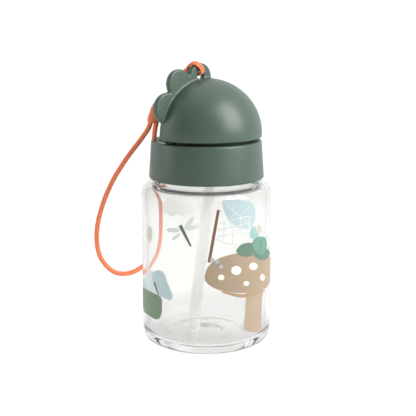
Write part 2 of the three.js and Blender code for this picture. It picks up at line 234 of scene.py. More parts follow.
def rounded(points, radius, steps=4):
    """A closed or open profile whose marked corners are rounded. points are (r, z) or (r, z, radius)."""
    out = []
    n = len(points)
    for i, q in enumerate(points):
        rad = q[2] if len(q) > 2 else radius
        if rad <= 0:
            out.append((q[0], q[1]))
            continue
        p = Vector(q[:2])
        a = Vector(points[i - 1][:2]) - p
        b = Vector(points[(i + 1) % n][:2]) - p
        if a.length < 1e-6 or b.length < 1e-6:
            out.append((q[0], q[1]))
            continue
        k = min(rad, 0.45 * a.length, 0.45 * b.length)
        u, v = p + a.normalized() * k, p + b.normalized() * k
        for j in range(steps + 1):
            t = j / steps
            w = u * (1 - t) ** 2 + p * 2 * t * (1 - t) + v * t * t
            out.append((w.x, w.y))
    return out


def lathe(bm, profile, segments=128, centre=(0, 0, 0), closed=True, start=0.0, sweep=2 * math.pi, warp=None):
    """profile in mm, (r, z); closed: last joins first."""
    full = abs(sweep - 2 * math.pi) < 1e-6
    cols = segments if full else segments + 1
    rings = []
    for i in range(cols):
        a = start + sweep * i / segments
        ring = []
        for r, z in profile:
            if warp:
                r, z = warp(r, z, a)
            ring.append(bm.verts.new((centre[0] * MM + r * MM * math.cos(a), centre[1] * MM + r * MM * math.sin(a), (centre[2] + z) * MM)))
        rings.append(ring)
    n = len(profile)
    for i in range(segments):
        p, q = rings[i], rings[(i + 1) % cols]
        for j in range(n if closed else n - 1):
            k = (j + 1) % n
            quad = [p[j], q[j], q[k], p[k]]
            if profile[j][0] < 1e-6 and profile[k][0] < 1e-6:
                continue
            if profile[j][0] < 1e-6:
                quad = [p[j], q[k], p[k]]
            elif profile[k][0] < 1e-6:
                quad = [p[j], q[j], p[k]]
            try:
                bm.faces.new(quad)
            except ValueError:
                pass
    if not full:
        for ring in (rings[0], rings[-1]):
            try:
                bm.faces.new(ring)
            except ValueError:
                pass
    return rings


def catmull(points, per=8):
    P = [Vector(p) for p in points]
    P = [2 * P[0] - P[1], *P, 2 * P[-1] - P[-2]]
    out = []
    for i in range(1, len(P) - 2):
        p0, p1, p2, p3 = P[i - 1 : i + 3]
        t1 = (p1 - p0).length ** 0.5
        t2 = t1 + (p2 - p1).length ** 0.5
        t3 = t2 + (p3 - p2).length ** 0.5
        for j in range(per):
            t = t1 + (t2 - t1) * j / per
            A1 = p0 * ((t1 - t) / t1) + p1 * (t / t1)
            A2 = p1 * ((t2 - t) / (t2 - t1)) + p2 * ((t - t1) / (t2 - t1))
            A3 = p2 * ((t3 - t) / (t3 - t2)) + p3 * ((t - t2) / (t3 - t2))
            B1 = A1 * ((t2 - t) / t2) + A2 * (t / t2)
            B2 = A2 * ((t3 - t) / (t3 - t1)) + A3 * ((t - t1) / (t3 - t1))
            out.append(B1 * ((t2 - t) / (t2 - t1)) + B2 * ((t - t1) / (t2 - t1)))
    out.append(P[-2])
    return out


def tube(bm, line, radius, sides=20, wide=None, flat=None, bore=None):
    """A capped tube along points in metres. radius is a number or a function of 0..1. bore opens it right through."""
    n = len(line)
    tang = [(line[min(i + 1, n - 1)] - line[max(i - 1, 0)]).normalized() for i in range(n)]
    up = Vector(wide) if wide is not None else Vector((0.31, 0.17, 0.93))
    rings, inner = [], []
    for i, (p, t) in enumerate(zip(line, tang)):
        up = (up - t * up.dot(t)).normalized()
        side = t.cross(up)
        r = radius(i / (n - 1)) if callable(radius) else radius
        f = flat(i / (n - 1)) if callable(flat) else (flat if flat is not None else 1.0)
        rings.append([bm.verts.new(p + up * (r * math.cos(2 * math.pi * k / sides)) + side * (r * f * math.sin(2 * math.pi * k / sides))) for k in range(sides)])
        if bore:
            inner.append([bm.verts.new(p + up * (bore * math.cos(2 * math.pi * k / sides)) + side * (bore * f * math.sin(2 * math.pi * k / sides))) for k in range(sides)])
    for a, b in zip(rings, rings[1:]):
        for k in range(sides):
            bm.faces.new([a[k], a[(k + 1) % sides], b[(k + 1) % sides], b[k]])
    if bore:
        for a, b in zip(inner, inner[1:]):
            for k in range(sides):
                bm.faces.new([b[k], b[(k + 1) % sides], a[(k + 1) % sides], a[k]])
        for o, i_ in ((rings[0], inner[0]), (rings[-1], inner[-1])):
            for k in range(sides):
                bm.faces.new([o[k], o[(k + 1) % sides], i_[(k + 1) % sides], i_[k]])
    else:
        bm.faces.new(rings[0][::-1])
        bm.faces.new(rings[-1])
    return rings


# ------------------------------------------------------------------ sizes shared with the solids, in mm
HINGE_Z = 117.96
DOME_R = 30.2
SPREAD = 1.022
DOME_LOW_Z = 115.99
LOBES = [(-4.2, 30.85, 7.65), (-18.5, 27.9, 7.7), (-26.5, 15.1, 8.4)]
HOLE = (-4.3, 31.75, 2.4)
KNOT = (-9.3, 5.7, 151.9)
CONNECTOR_TOP = Vector((-22.0, 17.9, 132.6))
CONNECTOR_END = Vector((-20.1, 22.0, 123.5))
LOOP_POINTS = [
    (-21.8, 24.8, 119.5),
    (-23.2, 27.5, 115.4),
    (-25.3, 30.5, 110.6),
    (-27.2, 32.8, 106.9),
    (-28.9, 34.8, 103.4),
    (-32.0, 38.4, 96.5),
    (-34.8, 41.6, 89.5),
    (-38.3, 45.3, 78.6),
    (-39.9, 47.2, 71.5),
    (-41.0, 48.9, 64.3),
    (-41.4, 49.9, 57.0),
    (-40.7, 50.6, 49.6),
    (-38.7, 50.7, 42.8),
    (-35.4, 49.8, 37.3),
    (-30.7, 48.3, 32.8),
    (-24.9, 46.3, 31.1),
    (-18.9, 44.4, 31.9),
    (-12.9, 43.0, 35.0),
    (-7.8, 41.6, 39.9),
    (-4.8, 41.4, 45.5),
    (-3.4, 41.3, 52.7),
    (-2.8, 41.5, 60.0),
    (-2.6, 41.6, 67.3),
    (-3.3, 41.5, 74.1),
    (-4.7, 41.3, 80.7),
    (-7.5, 39.7, 88.8),
    (-9.7, 37.1, 97.1),
    (-11.6, 34.0, 105.6),
    (-13.3, 30.8, 112.4),
    (-15.8, 26.6, 118.0),
]


# ------------------------------------------------------------------ bottle body
def arc(cx, cz, r, a0, a1, n):
    return [(cx + r * math.cos(math.radians(a0 + (a1 - a0) * i / n)), cz + r * math.sin(math.radians(a0 + (a1 - a0) * i / n))) for i in range(n + 1)]


def helix(r, z, a):
    # raises a low two-start thread on the neck's outside
    if 94.0 < z < 106.5 and 28.25 < r < 29.0:
        pitch = 5.0
        u = ((z - 96.6) / pitch - a / (2 * math.pi)) % 1.0
        ridge = max(0.0, 1 - abs(u - 0.5) / 0.17) if 96.6 < z < 105.0 else 0.0
        return 28.3 + 0.58 * min(1.0, 1.6 * ridge), z
    return r, z


outer = [(0, 1.9), (8.1, 1.9), (8.35, 1.8), (8.7, 1.42), (9.0, 1.3), (14, 1.28), (19.6, 1.25), (20.6, 1.1), (21.8, 0.45), (22.6, 0.1), (23.4, 0.0), (30.2, 0.0)]
outer += arc(30.5, 6, 6, -88, 0, 12)
outer += [(36.5, 20), (36.5, 40), (36.5, 60), (36.5, 78)]
outer += arc(30.5, 85, 6, 0, 88, 12)
outer += [(29.6, 91.03), (28.9, 91.25), (28.45, 91.7), (28.3, 92.4), (28.3, 93.8)]
outer += [(28.3, 94.1 + 0.25 * i) for i in range(50)]
outer += [(28.3, 107.1), (28.15, 107.45), (27.8, 107.6), (26.3, 107.6), (25.95, 107.45), (25.8, 107.1)]
outer += [(25.8, 99), (25.8, 91.6), (25.9, 90.6), (26.3, 89.6), (27.0, 88.9), (28.0, 88.55)]
outer += arc(30.3, 84.4, 4, 80, 0, 8)
outer += [(34.3, 70), (34.3, 50), (34.3, 30), (34.3, 14)]
outer += arc(29.3, 9.6, 5, 0, -88, 10)
outer += [(24, 4.58), (16, 4.55), (9.4, 4.6), (8.8, 4.75), (8.3, 4.95), (7.4, 5.0), (3.0, 5.0), (2.4, 4.85), (1.6, 4.7), (0, 4.7)]
bm = bmesh.new()
lathe(bm, outer, 144, closed=False, warp=helix)
body = finish_mesh("bottle_shell", bm, mat_clear, "bottle", ("bottle_body",), angle=60)
body.visible_shadow = False

# ------------------------------------------------------------------ printed motifs
MOTIFS = json.loads("""[["toadstool_stem","tan_light",0,[[23.47,38.09],[22.78,37.37],[22.51,36.24],[22.53,34.85],[22.69,33.3],[22.85,31.72],[22.87,30.23],[22.77,28.76],[22.66,27.21],[22.56,25.63],[22.46,24.06],[22.37,22.56],[22.29,21.16],[22.18,19.84],[22.02,18.54],[21.86,17.32],[21.78,16.18],[21.81,15.16],[22.03,14.28],[22.45,13.59],[23.06,13.04],[23.8,12.61],[24.63,12.25],[25.52,11.91],[26.4,11.58],[27.35,11.23],[28.42,10.89],[29.56,10.57],[30.72,10.28],[31.83,10.05],[32.81,9.9],[33.65,9.78],[34.4,9.67],[35.06,9.62],[35.61,9.72],[36.07,10.03],[36.44,10.62],[36.63,11.56],[36.65,12.83],[36.55,14.31],[36.4,15.9],[36.26,17.47],[36.21,18.93],[36.23,20.3],[36.28,21.65],[36.35,23.0],[36.42,24.35],[36.49,25.69],[36.55,27.04],[36.82,28.42],[37.35,29.84],[37.9,31.26],[38.19,32.64],[37.93,33.93],[36.9,35.09],[34.87,36.17],[32.21,37.15],[29.44,37.89],[26.9,38.31],[24.84,38.39]]],
["toadstool_cap","tan",1,[[-0.4,43.09],[-0.72,43.87],[-0.86,44.7],[-0.87,45.56],[-0.77,46.43],[-0.6,47.29],[-0.4,48.1],[-0.16,48.89],[0.15,49.68],[0.53,50.45],[0.97,51.19],[1.46,51.88],[1.99,52.53],[2.58,53.12],[3.24,53.66],[3.95,54.16],[4.7,54.62],[5.48,55.05],[6.28,55.44],[7.11,55.79],[7.97,56.1],[8.87,56.37],[9.81,56.61],[10.78,56.82],[11.8,57.02],[12.87,57.2],[14.01,57.36],[15.2,57.49],[16.42,57.58],[17.67,57.63],[18.93,57.63],[20.22,57.58],[21.57,57.49],[22.96,57.35],[24.38,57.16],[25.81,56.91],[27.24,56.61],[28.69,56.27],[30.21,55.87],[31.76,55.41],[33.33,54.89],[34.88,54.3],[36.38,53.63],[37.81,52.89],[39.19,52.09],[40.52,51.22],[41.82,50.3],[42.0,50.16],[45.32,50.0],[48.51,49.51],[51.44,48.72],[54.02,47.65],[56.13,46.36],[57.71,44.88],[58.67,43.27],[59.0,41.6],[58.67,39.93],[57.71,38.33],[56.13,36.85],[54.02,35.55],[51.44,34.48],[48.51,33.69],[45.32,33.21],[42.0,33.04],[40.44,33.13],[38.44,33.28],[36.46,33.46],[34.53,33.64],[32.69,33.81],[30.94,33.96],[29.24,34.09],[27.54,34.21],[25.87,34.33],[24.24,34.47],[22.65,34.63],[21.12,34.82],[19.62,35.04],[18.15,35.3],[16.69,35.59],[15.26,35.9],[13.87,36.23],[12.5,36.57],[11.13,36.93],[9.75,37.31],[8.39,37.7],[7.07,38.13],[5.84,38.59],[4.71,39.09],[3.65,39.66],[2.63,40.27],[1.68,40.94],[0.83,41.63],[0.13,42.36]]],
["toadstool_gills","tan_dark",2,[[8.54,37.48],[9.7,37.25],[11.48,36.75],[13.7,36.09],[16.18,35.35],[18.73,34.67],[21.12,34.19],[23.52,33.95],[26.21,33.83],[29.07,33.74],[31.98,33.61],[34.72,33.38],[36.96,33.04],[38.57,32.65],[39.62,32.28],[39.99,31.99],[39.63,31.83],[38.59,31.79],[36.99,31.87],[34.7,31.99],[31.87,32.06],[28.89,32.07],[26.01,32.06],[23.38,32.09],[21.15,32.25],[19.12,32.63],[17.11,33.2],[15.2,33.87],[13.46,34.56],[11.97,35.18],[10.79,35.67],[9.83,36.08],[8.98,36.52],[8.34,36.92],[7.99,37.24],[8.03,37.44]]],
["toadstool_dot_0","cream",2,[[19.67,47.75],[19.55,47.07],[19.17,46.49],[18.59,46.04],[17.84,45.76],[17.0,45.68],[16.14,45.79],[15.32,46.09],[14.6,46.55],[14.05,47.14],[13.7,47.81],[13.58,48.51],[13.69,49.19],[14.03,49.79],[14.57,50.26],[15.28,50.56],[16.1,50.66],[16.96,50.56],[17.8,50.25],[18.55,49.77],[19.15,49.16],[19.53,48.47]]],
["toadstool_dot_1","cream",2,[[31.55,47.85],[31.41,47.3],[31.0,46.86],[30.36,46.55],[29.55,46.41],[28.65,46.43],[27.74,46.61],[26.88,46.94],[26.15,47.39],[25.58,47.93],[25.23,48.52],[25.1,49.12],[25.21,49.67],[25.55,50.13],[26.1,50.47],[26.82,50.65],[27.67,50.65],[28.58,50.48],[29.48,50.14],[30.3,49.66],[30.96,49.08],[31.39,48.46]]],
["toadstool_dot_2","cream",2,[[9.73,44.95],[9.66,44.52],[9.45,44.13],[9.12,43.82],[8.7,43.61],[8.22,43.51],[7.71,43.55],[7.23,43.7],[6.81,43.96],[6.49,44.32],[6.28,44.73],[6.21,45.18],[6.28,45.61],[6.48,46.01],[6.81,46.32],[7.22,46.54],[7.7,46.64],[8.2,46.61],[8.68,46.45],[9.11,46.18],[9.44,45.82],[9.66,45.4]]],
["toadstool_dot_3","cream",2,[[25.09,39.49],[25.02,39.14],[24.78,38.85],[24.4,38.64],[23.93,38.52],[23.39,38.52],[22.83,38.62],[22.31,38.82],[21.85,39.09],[21.49,39.44],[21.27,39.81],[21.19,40.19],[21.26,40.54],[21.48,40.85],[21.83,41.07],[22.28,41.19],[22.8,41.2],[23.36,41.11],[23.9,40.9],[24.38,40.62],[24.76,40.26],[25.0,39.88]]],
["toadstool_dot_4","cream",2,[[39.48,39.64],[39.38,39.14],[39.05,38.75],[38.54,38.48],[37.89,38.36],[37.17,38.4],[36.45,38.58],[35.77,38.9],[35.2,39.32],[34.76,39.83],[34.48,40.37],[34.37,40.92],[34.45,41.42],[34.71,41.83],[35.13,42.13],[35.68,42.28],[36.35,42.26],[37.06,42.09],[37.78,41.76],[38.45,41.31],[38.99,40.77],[39.35,40.2]]],
["cap_leaf_left","green",3,[[16.45,59.32],[16.66,59.8],[17.05,60.3],[17.58,60.8],[18.2,61.27],[18.86,61.68],[19.52,62.0],[20.19,62.23],[20.93,62.39],[21.71,62.5],[22.53,62.54],[23.36,62.52],[24.2,62.44],[25.07,62.3],[26.0,62.09],[26.96,61.81],[27.91,61.48],[28.79,61.1],[29.57,60.68],[30.27,60.2],[30.95,59.64],[31.54,59.04],[32.0,58.43],[32.26,57.86],[32.26,57.35],[31.96,56.88],[31.41,56.43],[30.67,56.0],[29.82,55.62],[28.92,55.3],[28.05,55.06],[27.12,54.9],[26.11,54.81],[25.07,54.77],[24.04,54.78],[23.08,54.83],[22.22,54.93],[21.45,55.09],[20.72,55.31],[20.03,55.59],[19.39,55.9],[18.82,56.24],[18.31,56.6],[17.84,56.99],[17.37,57.43],[16.96,57.89],[16.64,58.38],[16.46,58.86]]],
["cap_leaf_right","teal",4,[[30.5,56.0],[29.83,56.58],[29.14,57.24],[28.49,57.95],[27.93,58.66],[27.48,59.36],[27.18,59.99],[27.03,60.59],[26.99,61.19],[27.06,61.78],[27.23,62.32],[27.51,62.81],[27.91,63.22],[28.47,63.56],[29.22,63.84],[30.11,64.06],[31.08,64.2],[32.08,64.26],[33.04,64.24],[34.0,64.13],[35.03,63.94],[36.11,63.66],[37.18,63.31],[38.2,62.89],[39.11,62.42],[39.89,61.89],[40.59,61.27],[41.17,60.61],[41.63,59.93],[41.95,59.25],[42.12,58.6],[42.11,57.97],[41.94,57.32],[41.61,56.68],[41.16,56.07],[40.63,55.53],[40.03,55.08],[39.36,54.67],[38.6,54.3],[37.78,53.97],[36.94,53.72],[36.11,53.58],[35.3,53.58],[34.48,53.74],[33.63,54.05],[32.79,54.46],[31.97,54.94],[31.2,55.47]]],
["cap_leaf_right2","green",3,[[28.86,54.63],[28.95,55.15],[29.32,55.7],[29.91,56.22],[30.65,56.69],[31.46,57.08],[32.26,57.35],[33.1,57.49],[34.08,57.53],[35.17,57.47],[36.32,57.32],[37.5,57.1],[38.65,56.82],[39.82,56.47],[41.08,56.01],[42.4,55.47],[43.74,54.86],[45.03,54.22],[46.18,53.58],[47.13,52.93],[47.92,52.26],[48.43,51.61],[48.59,51.04],[48.34,50.59],[47.69,50.29],[46.69,50.1],[45.44,49.98],[44.09,49.89],[42.74,49.83],[41.44,49.82],[40.22,49.86],[39.01,49.95],[37.77,50.1],[36.54,50.28],[35.38,50.52],[34.3,50.81],[33.34,51.16],[32.39,51.62],[31.39,52.19],[30.46,52.81],[29.67,53.45],[29.11,54.07]]],
["cap_vein_left","green_dark",5,[[18.94,58.52],[20.06,58.45],[21.2,58.37],[22.37,58.28],[23.57,58.17],[24.81,58.05],[26.09,57.92],[27.43,57.76],[28.82,57.59],[28.78,57.88],[27.39,58.07],[26.06,58.24],[24.77,58.4],[23.53,58.54],[22.33,58.67],[21.16,58.78],[20.02,58.88],[18.9,58.97]]],
["cap_vein_right","green_dark",5,[[33.63,55.33],[33.78,56.12],[33.92,56.91],[34.07,57.69],[34.22,58.47],[34.37,59.26],[34.53,60.04],[34.68,60.83],[34.83,61.61],[34.32,61.75],[34.14,60.98],[33.95,60.2],[33.77,59.43],[33.58,58.65],[33.4,57.88],[33.22,57.11],[33.04,56.33],[32.86,55.55]]],
["reed_stem","brown",3,[[2.22,53.48],[2.84,57.06],[3.47,60.62],[4.09,64.18],[4.71,67.72],[5.33,71.24],[5.95,74.76],[6.57,78.26],[7.2,81.75],[5.61,82.1],[4.99,78.61],[4.36,75.1],[3.74,71.59],[3.11,68.05],[2.48,64.51],[1.86,60.95],[1.23,57.38],[0.59,53.8]]],
["seed_0","grey",4,[[4.18,54.97],[4.11,54.57],[3.92,54.23],[3.62,53.98],[3.26,53.85],[2.87,53.86],[2.5,54.0],[2.2,54.27],[2.01,54.62],[1.94,55.02],[2.0,55.41],[2.2,55.76],[2.5,56.01],[2.86,56.14],[3.25,56.14],[3.62,55.99],[3.92,55.72],[4.11,55.37]]],
["seed_1","grey",4,[[6.88,53.86],[6.82,53.47],[6.62,53.13],[6.32,52.88],[5.95,52.76],[5.55,52.78],[5.18,52.93],[4.88,53.2],[4.68,53.56],[4.61,53.96],[4.68,54.35],[4.88,54.7],[5.18,54.94],[5.54,55.07],[5.94,55.05],[6.31,54.9],[6.61,54.62],[6.81,54.26]]],
["seed_2","grey",4,[[9.09,51.02],[9.02,50.62],[8.82,50.28],[8.51,50.04],[8.14,49.93],[7.74,49.95],[7.36,50.11],[7.06,50.39],[6.86,50.75],[6.79,51.15],[6.85,51.55],[7.05,51.89],[7.35,52.13],[7.73,52.25],[8.13,52.23],[8.51,52.06],[8.81,51.78],[9.02,51.42]]],
["lattice_0","lattice",2,[[6.54,74.65],[8.6,75.03],[10.7,75.38],[12.84,75.7],[15.04,75.99],[17.31,76.25],[19.67,76.47],[22.15,76.65],[24.78,76.78],[24.63,77.29],[22.01,77.15],[19.54,76.97],[17.18,76.74],[14.91,76.48],[12.72,76.19],[10.58,75.86],[8.49,75.51],[6.43,75.13]]],
["lattice_1","lattice",2,[[6.01,70.86],[8.17,71.23],[10.37,71.58],[12.61,71.9],[14.92,72.18],[17.3,72.42],[19.79,72.62],[22.4,72.77],[25.19,72.86],[25.05,73.37],[22.27,73.27],[19.66,73.12],[17.18,72.91],[14.8,72.67],[12.5,72.39],[10.26,72.07],[8.06,71.72],[5.91,71.34]]],
["lattice_2","lattice",2,[[5.52,67.32],[7.71,67.57],[9.93,67.78],[12.2,67.96],[14.52,68.1],[16.93,68.2],[19.44,68.26],[22.07,68.26],[24.88,68.2],[24.77,68.71],[21.97,68.76],[19.34,68.76],[16.84,68.7],[14.44,68.6],[12.11,68.45],[9.85,68.27],[7.63,68.06],[5.45,67.81]]],
["lattice_3","lattice",2,[[5.32,65.99],[5.83,65.69],[6.33,65.4],[6.84,65.1],[7.35,64.81],[7.86,64.5],[8.38,64.2],[8.89,63.9],[9.41,63.59],[9.64,64.01],[9.12,64.32],[8.61,64.62],[8.09,64.93],[7.58,65.23],[7.07,65.53],[6.56,65.83],[6.05,66.12],[5.55,66.41]]],
["lattice_4","lattice",2,[[9.49,63.56],[10.18,63.4],[10.88,63.24],[11.58,63.08],[12.29,62.91],[13.01,62.74],[13.73,62.56],[14.46,62.38],[15.19,62.2],[15.27,62.68],[14.53,62.87],[13.81,63.05],[13.08,63.22],[12.37,63.39],[11.66,63.56],[10.95,63.73],[10.26,63.89],[9.56,64.04]]],
["lattice_5","lattice",2,[[15.28,62.19],[16.02,62.22],[16.77,62.25],[17.53,62.27],[18.3,62.29],[19.09,62.3],[19.88,62.31],[20.69,62.31],[21.51,62.31],[21.41,62.82],[20.59,62.82],[19.79,62.82],[18.99,62.81],[18.21,62.79],[17.44,62.78],[16.68,62.75],[15.93,62.72],[15.19,62.69]]],
["lattice_6","lattice",2,[[21.65,62.35],[22.15,62.62],[22.66,62.9],[23.17,63.17],[23.68,63.44],[24.21,63.71],[24.74,63.97],[25.28,64.23],[25.82,64.49],[25.39,64.95],[24.85,64.69],[24.32,64.42],[23.8,64.15],[23.28,63.88],[22.77,63.61],[22.26,63.34],[21.76,63.06],[21.27,62.78]]],
["lattice_7","lattice",2,[[9.22,75.85],[9.19,74.35],[9.16,72.86],[9.14,71.36],[9.11,69.86],[9.08,68.36],[9.05,66.85],[9.03,65.35],[9.0,63.84],[9.5,63.8],[9.52,65.31],[9.55,66.81],[9.58,68.32],[9.6,69.82],[9.63,71.32],[9.66,72.82],[9.68,74.31],[9.71,75.81]]],
["lattice_8","lattice",2,[[13.7,76.34],[13.75,74.63],[13.79,72.92],[13.84,71.21],[13.89,69.5],[13.94,67.78],[13.99,66.06],[14.04,64.33],[14.09,62.6],[14.61,62.56],[14.56,64.29],[14.51,66.02],[14.46,67.74],[14.41,69.46],[14.36,71.17],[14.32,72.89],[14.27,74.6],[14.22,76.31]]],
["lattice_9","lattice",2,[[18.77,76.67],[18.87,74.88],[18.96,73.09],[19.06,71.29],[19.16,69.49],[19.26,67.69],[19.35,65.88],[19.45,64.07],[19.55,62.26],[20.13,62.2],[20.03,64.02],[19.93,65.83],[19.83,67.64],[19.73,69.44],[19.63,71.24],[19.53,73.04],[19.43,74.83],[19.34,76.62]]],
["lattice_10","lattice",2,[[24.03,77.11],[24.15,75.58],[24.27,74.05],[24.39,72.52],[24.51,70.98],[24.63,69.44],[24.75,67.9],[24.87,66.35],[24.99,64.81],[25.64,64.73],[25.52,66.28],[25.4,67.82],[25.27,69.37],[25.15,70.91],[25.03,72.45],[24.91,73.99],[24.79,75.52],[24.67,77.05]]],
["sky_leaf","sky",1,[[8.59,86.42],[9.08,86.82],[9.82,87.02],[10.75,87.07],[11.78,87.02],[12.85,86.95],[13.88,86.91],[14.9,86.9],[16.0,86.87],[17.13,86.81],[18.29,86.7],[19.43,86.53],[20.54,86.3],[21.64,85.99],[22.77,85.63],[23.89,85.21],[24.97,84.73],[25.95,84.2],[26.8,83.61],[27.49,82.97],[28.04,82.27],[28.46,81.53],[28.78,80.76],[29.03,79.95],[29.23,79.12],[29.38,78.24],[29.46,77.27],[29.46,76.29],[29.38,75.32],[29.2,74.42],[28.92,73.63],[28.57,72.94],[28.15,72.29],[27.64,71.71],[27.04,71.21],[26.34,70.83],[25.52,70.57],[24.55,70.43],[23.44,70.4],[22.26,70.46],[21.06,70.62],[19.89,70.86],[18.8,71.19],[17.73,71.63],[16.64,72.18],[15.57,72.82],[14.56,73.53],[13.63,74.28],[12.82,75.06],[12.12,75.89],[11.51,76.79],[10.97,77.76],[10.5,78.74],[10.08,79.73],[9.71,80.7],[9.34,81.7],[8.96,82.79],[8.64,83.88],[8.43,84.89],[8.39,85.77]]],
["sky_leaf_vein_0","vein",2,[[9.27,85.69],[11.07,84.01],[12.92,82.3],[14.81,80.57],[16.75,78.8],[18.77,77.0],[20.86,75.15],[23.06,73.26],[25.39,71.31],[25.63,71.48],[23.3,73.45],[21.11,75.36],[19.02,77.22],[17.01,79.04],[15.07,80.82],[13.19,82.58],[11.36,84.3],[9.56,85.99]]],
["sky_leaf_vein_1","vein",2,[[14.73,81.13],[14.79,81.77],[14.85,82.41],[14.9,83.05],[14.96,83.69],[15.02,84.33],[15.07,84.97],[15.13,85.61],[15.19,86.25],[14.9,86.3],[14.82,85.67],[14.74,85.03],[14.66,84.4],[14.58,83.76],[14.5,83.13],[14.43,82.49],[14.35,81.85],[14.27,81.22]]],
["sky_leaf_vein_2","vein",2,[[18.93,77.06],[19.62,77.71],[20.32,78.36],[21.03,79.0],[21.75,79.63],[22.49,80.27],[23.23,80.9],[23.99,81.53],[24.77,82.15],[24.5,82.37],[23.71,81.76],[22.93,81.14],[22.17,80.53],[21.42,79.91],[20.69,79.28],[19.96,78.65],[19.25,78.02],[18.54,77.39]]],
["sky_leaf_vein_3","vein",2,[[16.14,79.58],[15.63,79.28],[15.12,78.97],[14.62,78.67],[14.12,78.36],[13.63,78.05],[13.13,77.74],[12.64,77.43],[12.16,77.12],[12.32,76.89],[12.82,77.18],[13.33,77.47],[13.83,77.77],[14.34,78.05],[14.86,78.34],[15.37,78.63],[15.89,78.91],[16.42,79.2]]],
["sky_leaf_vein_4","vein",2,[[21.78,74.48],[22.56,74.73],[23.36,74.98],[24.18,75.22],[25.02,75.45],[25.87,75.69],[26.74,75.91],[27.64,76.13],[28.57,76.34],[28.38,76.61],[27.44,76.42],[26.54,76.22],[25.65,76.02],[24.79,75.8],[23.95,75.59],[23.13,75.36],[22.32,75.13],[21.52,74.9]]],
["small_leaf_a","blue_dark",2,[[24.86,65.95],[24.79,66.58],[24.92,67.35],[25.19,68.17],[25.54,68.97],[25.92,69.66],[26.26,70.17],[26.59,70.52],[26.94,70.76],[27.32,70.89],[27.72,70.92],[28.14,70.84],[28.57,70.64],[29.05,70.27],[29.59,69.73],[30.15,69.08],[30.69,68.37],[31.19,67.67],[31.6,67.04],[31.95,66.43],[32.28,65.8],[32.55,65.18],[32.72,64.6],[32.74,64.12],[32.58,63.77],[32.19,63.54],[31.61,63.41],[30.9,63.37],[30.14,63.39],[29.39,63.49],[28.7,63.64],[27.99,63.87],[27.2,64.17],[26.42,64.54],[25.73,64.96],[25.18,65.43]]],
["small_leaf_b","seed_brown",2,[[35.16,68.34],[35.47,67.49],[35.55,66.74],[35.39,66.15],[35.02,65.79],[34.47,65.68],[33.81,65.84],[33.12,66.25],[32.46,66.86],[31.89,67.62],[31.45,68.46],[31.19,69.28],[31.13,70.03],[31.26,70.62],[31.58,70.99],[32.06,71.12],[32.67,70.98],[33.35,70.58],[34.04,69.97],[34.66,69.19]]],
["pot","pot_green",2,[[-47.98,31.15],[-46.34,31.48],[-44.79,31.66],[-43.29,31.78],[-41.83,31.92],[-40.34,32.07],[-38.8,32.16],[-37.3,32.2],[-35.86,32.19],[-34.54,32.15],[-33.35,32.1],[-32.23,32.05],[-31.1,32.0],[-30.03,31.93],[-29.06,31.84],[-28.24,31.7],[-27.59,31.49],[-27.14,31.24],[-26.85,30.96],[-26.66,30.64],[-26.54,30.29],[-26.46,29.9],[-26.38,29.46],[-26.31,28.97],[-26.29,28.42],[-26.3,27.82],[-26.34,27.21],[-26.38,26.6],[-26.42,26.0],[-26.45,25.41],[-26.48,24.81],[-26.51,24.21],[-26.57,23.62],[-26.65,23.03],[-26.78,22.46],[-26.94,21.88],[-27.13,21.3],[-27.35,20.72],[-27.61,20.17],[-27.91,19.66],[-28.25,19.22],[-28.64,18.83],[-29.06,18.47],[-29.53,18.16],[-30.05,17.89],[-30.63,17.68],[-31.28,17.52],[-32.01,17.43],[-32.85,17.39],[-33.78,17.4],[-34.77,17.43],[-35.81,17.47],[-36.88,17.49],[-38.03,17.49],[-39.33,17.47],[-40.75,17.42],[-42.24,17.37],[-43.77,17.32],[-45.22,17.3],[-46.54,17.31],[-47.76,17.34],[-48.59,17.4],[-50.35,17.53],[-52.03,17.91],[-53.59,18.54],[-54.95,19.38],[-56.07,20.41],[-56.9,21.58],[-57.42,22.86],[-57.59,24.18],[-57.42,25.5],[-56.9,26.77],[-56.07,27.94],[-54.95,28.97],[-53.59,29.82],[-52.03,30.44],[-50.35,30.83],[-48.59,30.96]]],
["pot_leaf_a","blue",1,[[-34.11,43.49],[-33.63,43.97],[-33.04,44.44],[-32.37,44.88],[-31.68,45.27],[-30.99,45.6],[-30.35,45.88],[-29.72,46.09],[-29.07,46.25],[-28.43,46.36],[-27.81,46.41],[-27.22,46.4],[-26.69,46.34],[-26.19,46.21],[-25.73,46.04],[-25.29,45.82],[-24.87,45.53],[-24.48,45.17],[-24.12,44.72],[-23.8,44.17],[-23.52,43.5],[-23.26,42.76],[-23.0,41.99],[-22.73,41.22],[-22.42,40.5],[-22.06,39.79],[-21.65,39.08],[-21.23,38.36],[-20.82,37.67],[-20.44,36.99],[-20.12,36.35],[-19.84,35.75],[-19.56,35.18],[-19.31,34.63],[-19.12,34.1],[-19.01,33.6],[-18.99,33.13],[-19.08,32.66],[-19.26,32.2],[-19.52,31.75],[-19.84,31.36],[-20.19,31.04],[-20.56,30.82],[-20.97,30.73],[-21.44,30.74],[-21.95,30.83],[-22.49,30.96],[-23.03,31.08],[-23.56,31.18],[-24.09,31.24],[-24.63,31.29],[-25.18,31.35],[-25.74,31.41],[-26.31,31.51],[-26.89,31.65],[-27.48,31.81],[-28.11,32.0],[-28.75,32.21],[-29.38,32.45],[-29.99,32.75],[-30.56,33.12],[-31.09,33.57],[-31.58,34.09],[-32.04,34.68],[-32.48,35.29],[-32.88,35.91],[-33.27,36.51],[-33.63,37.1],[-33.99,37.71],[-34.31,38.32],[-34.58,38.94],[-34.78,39.55],[-34.91,40.14],[-34.96,40.72],[-34.95,41.31],[-34.87,41.88],[-34.72,42.45],[-34.47,42.98]]],
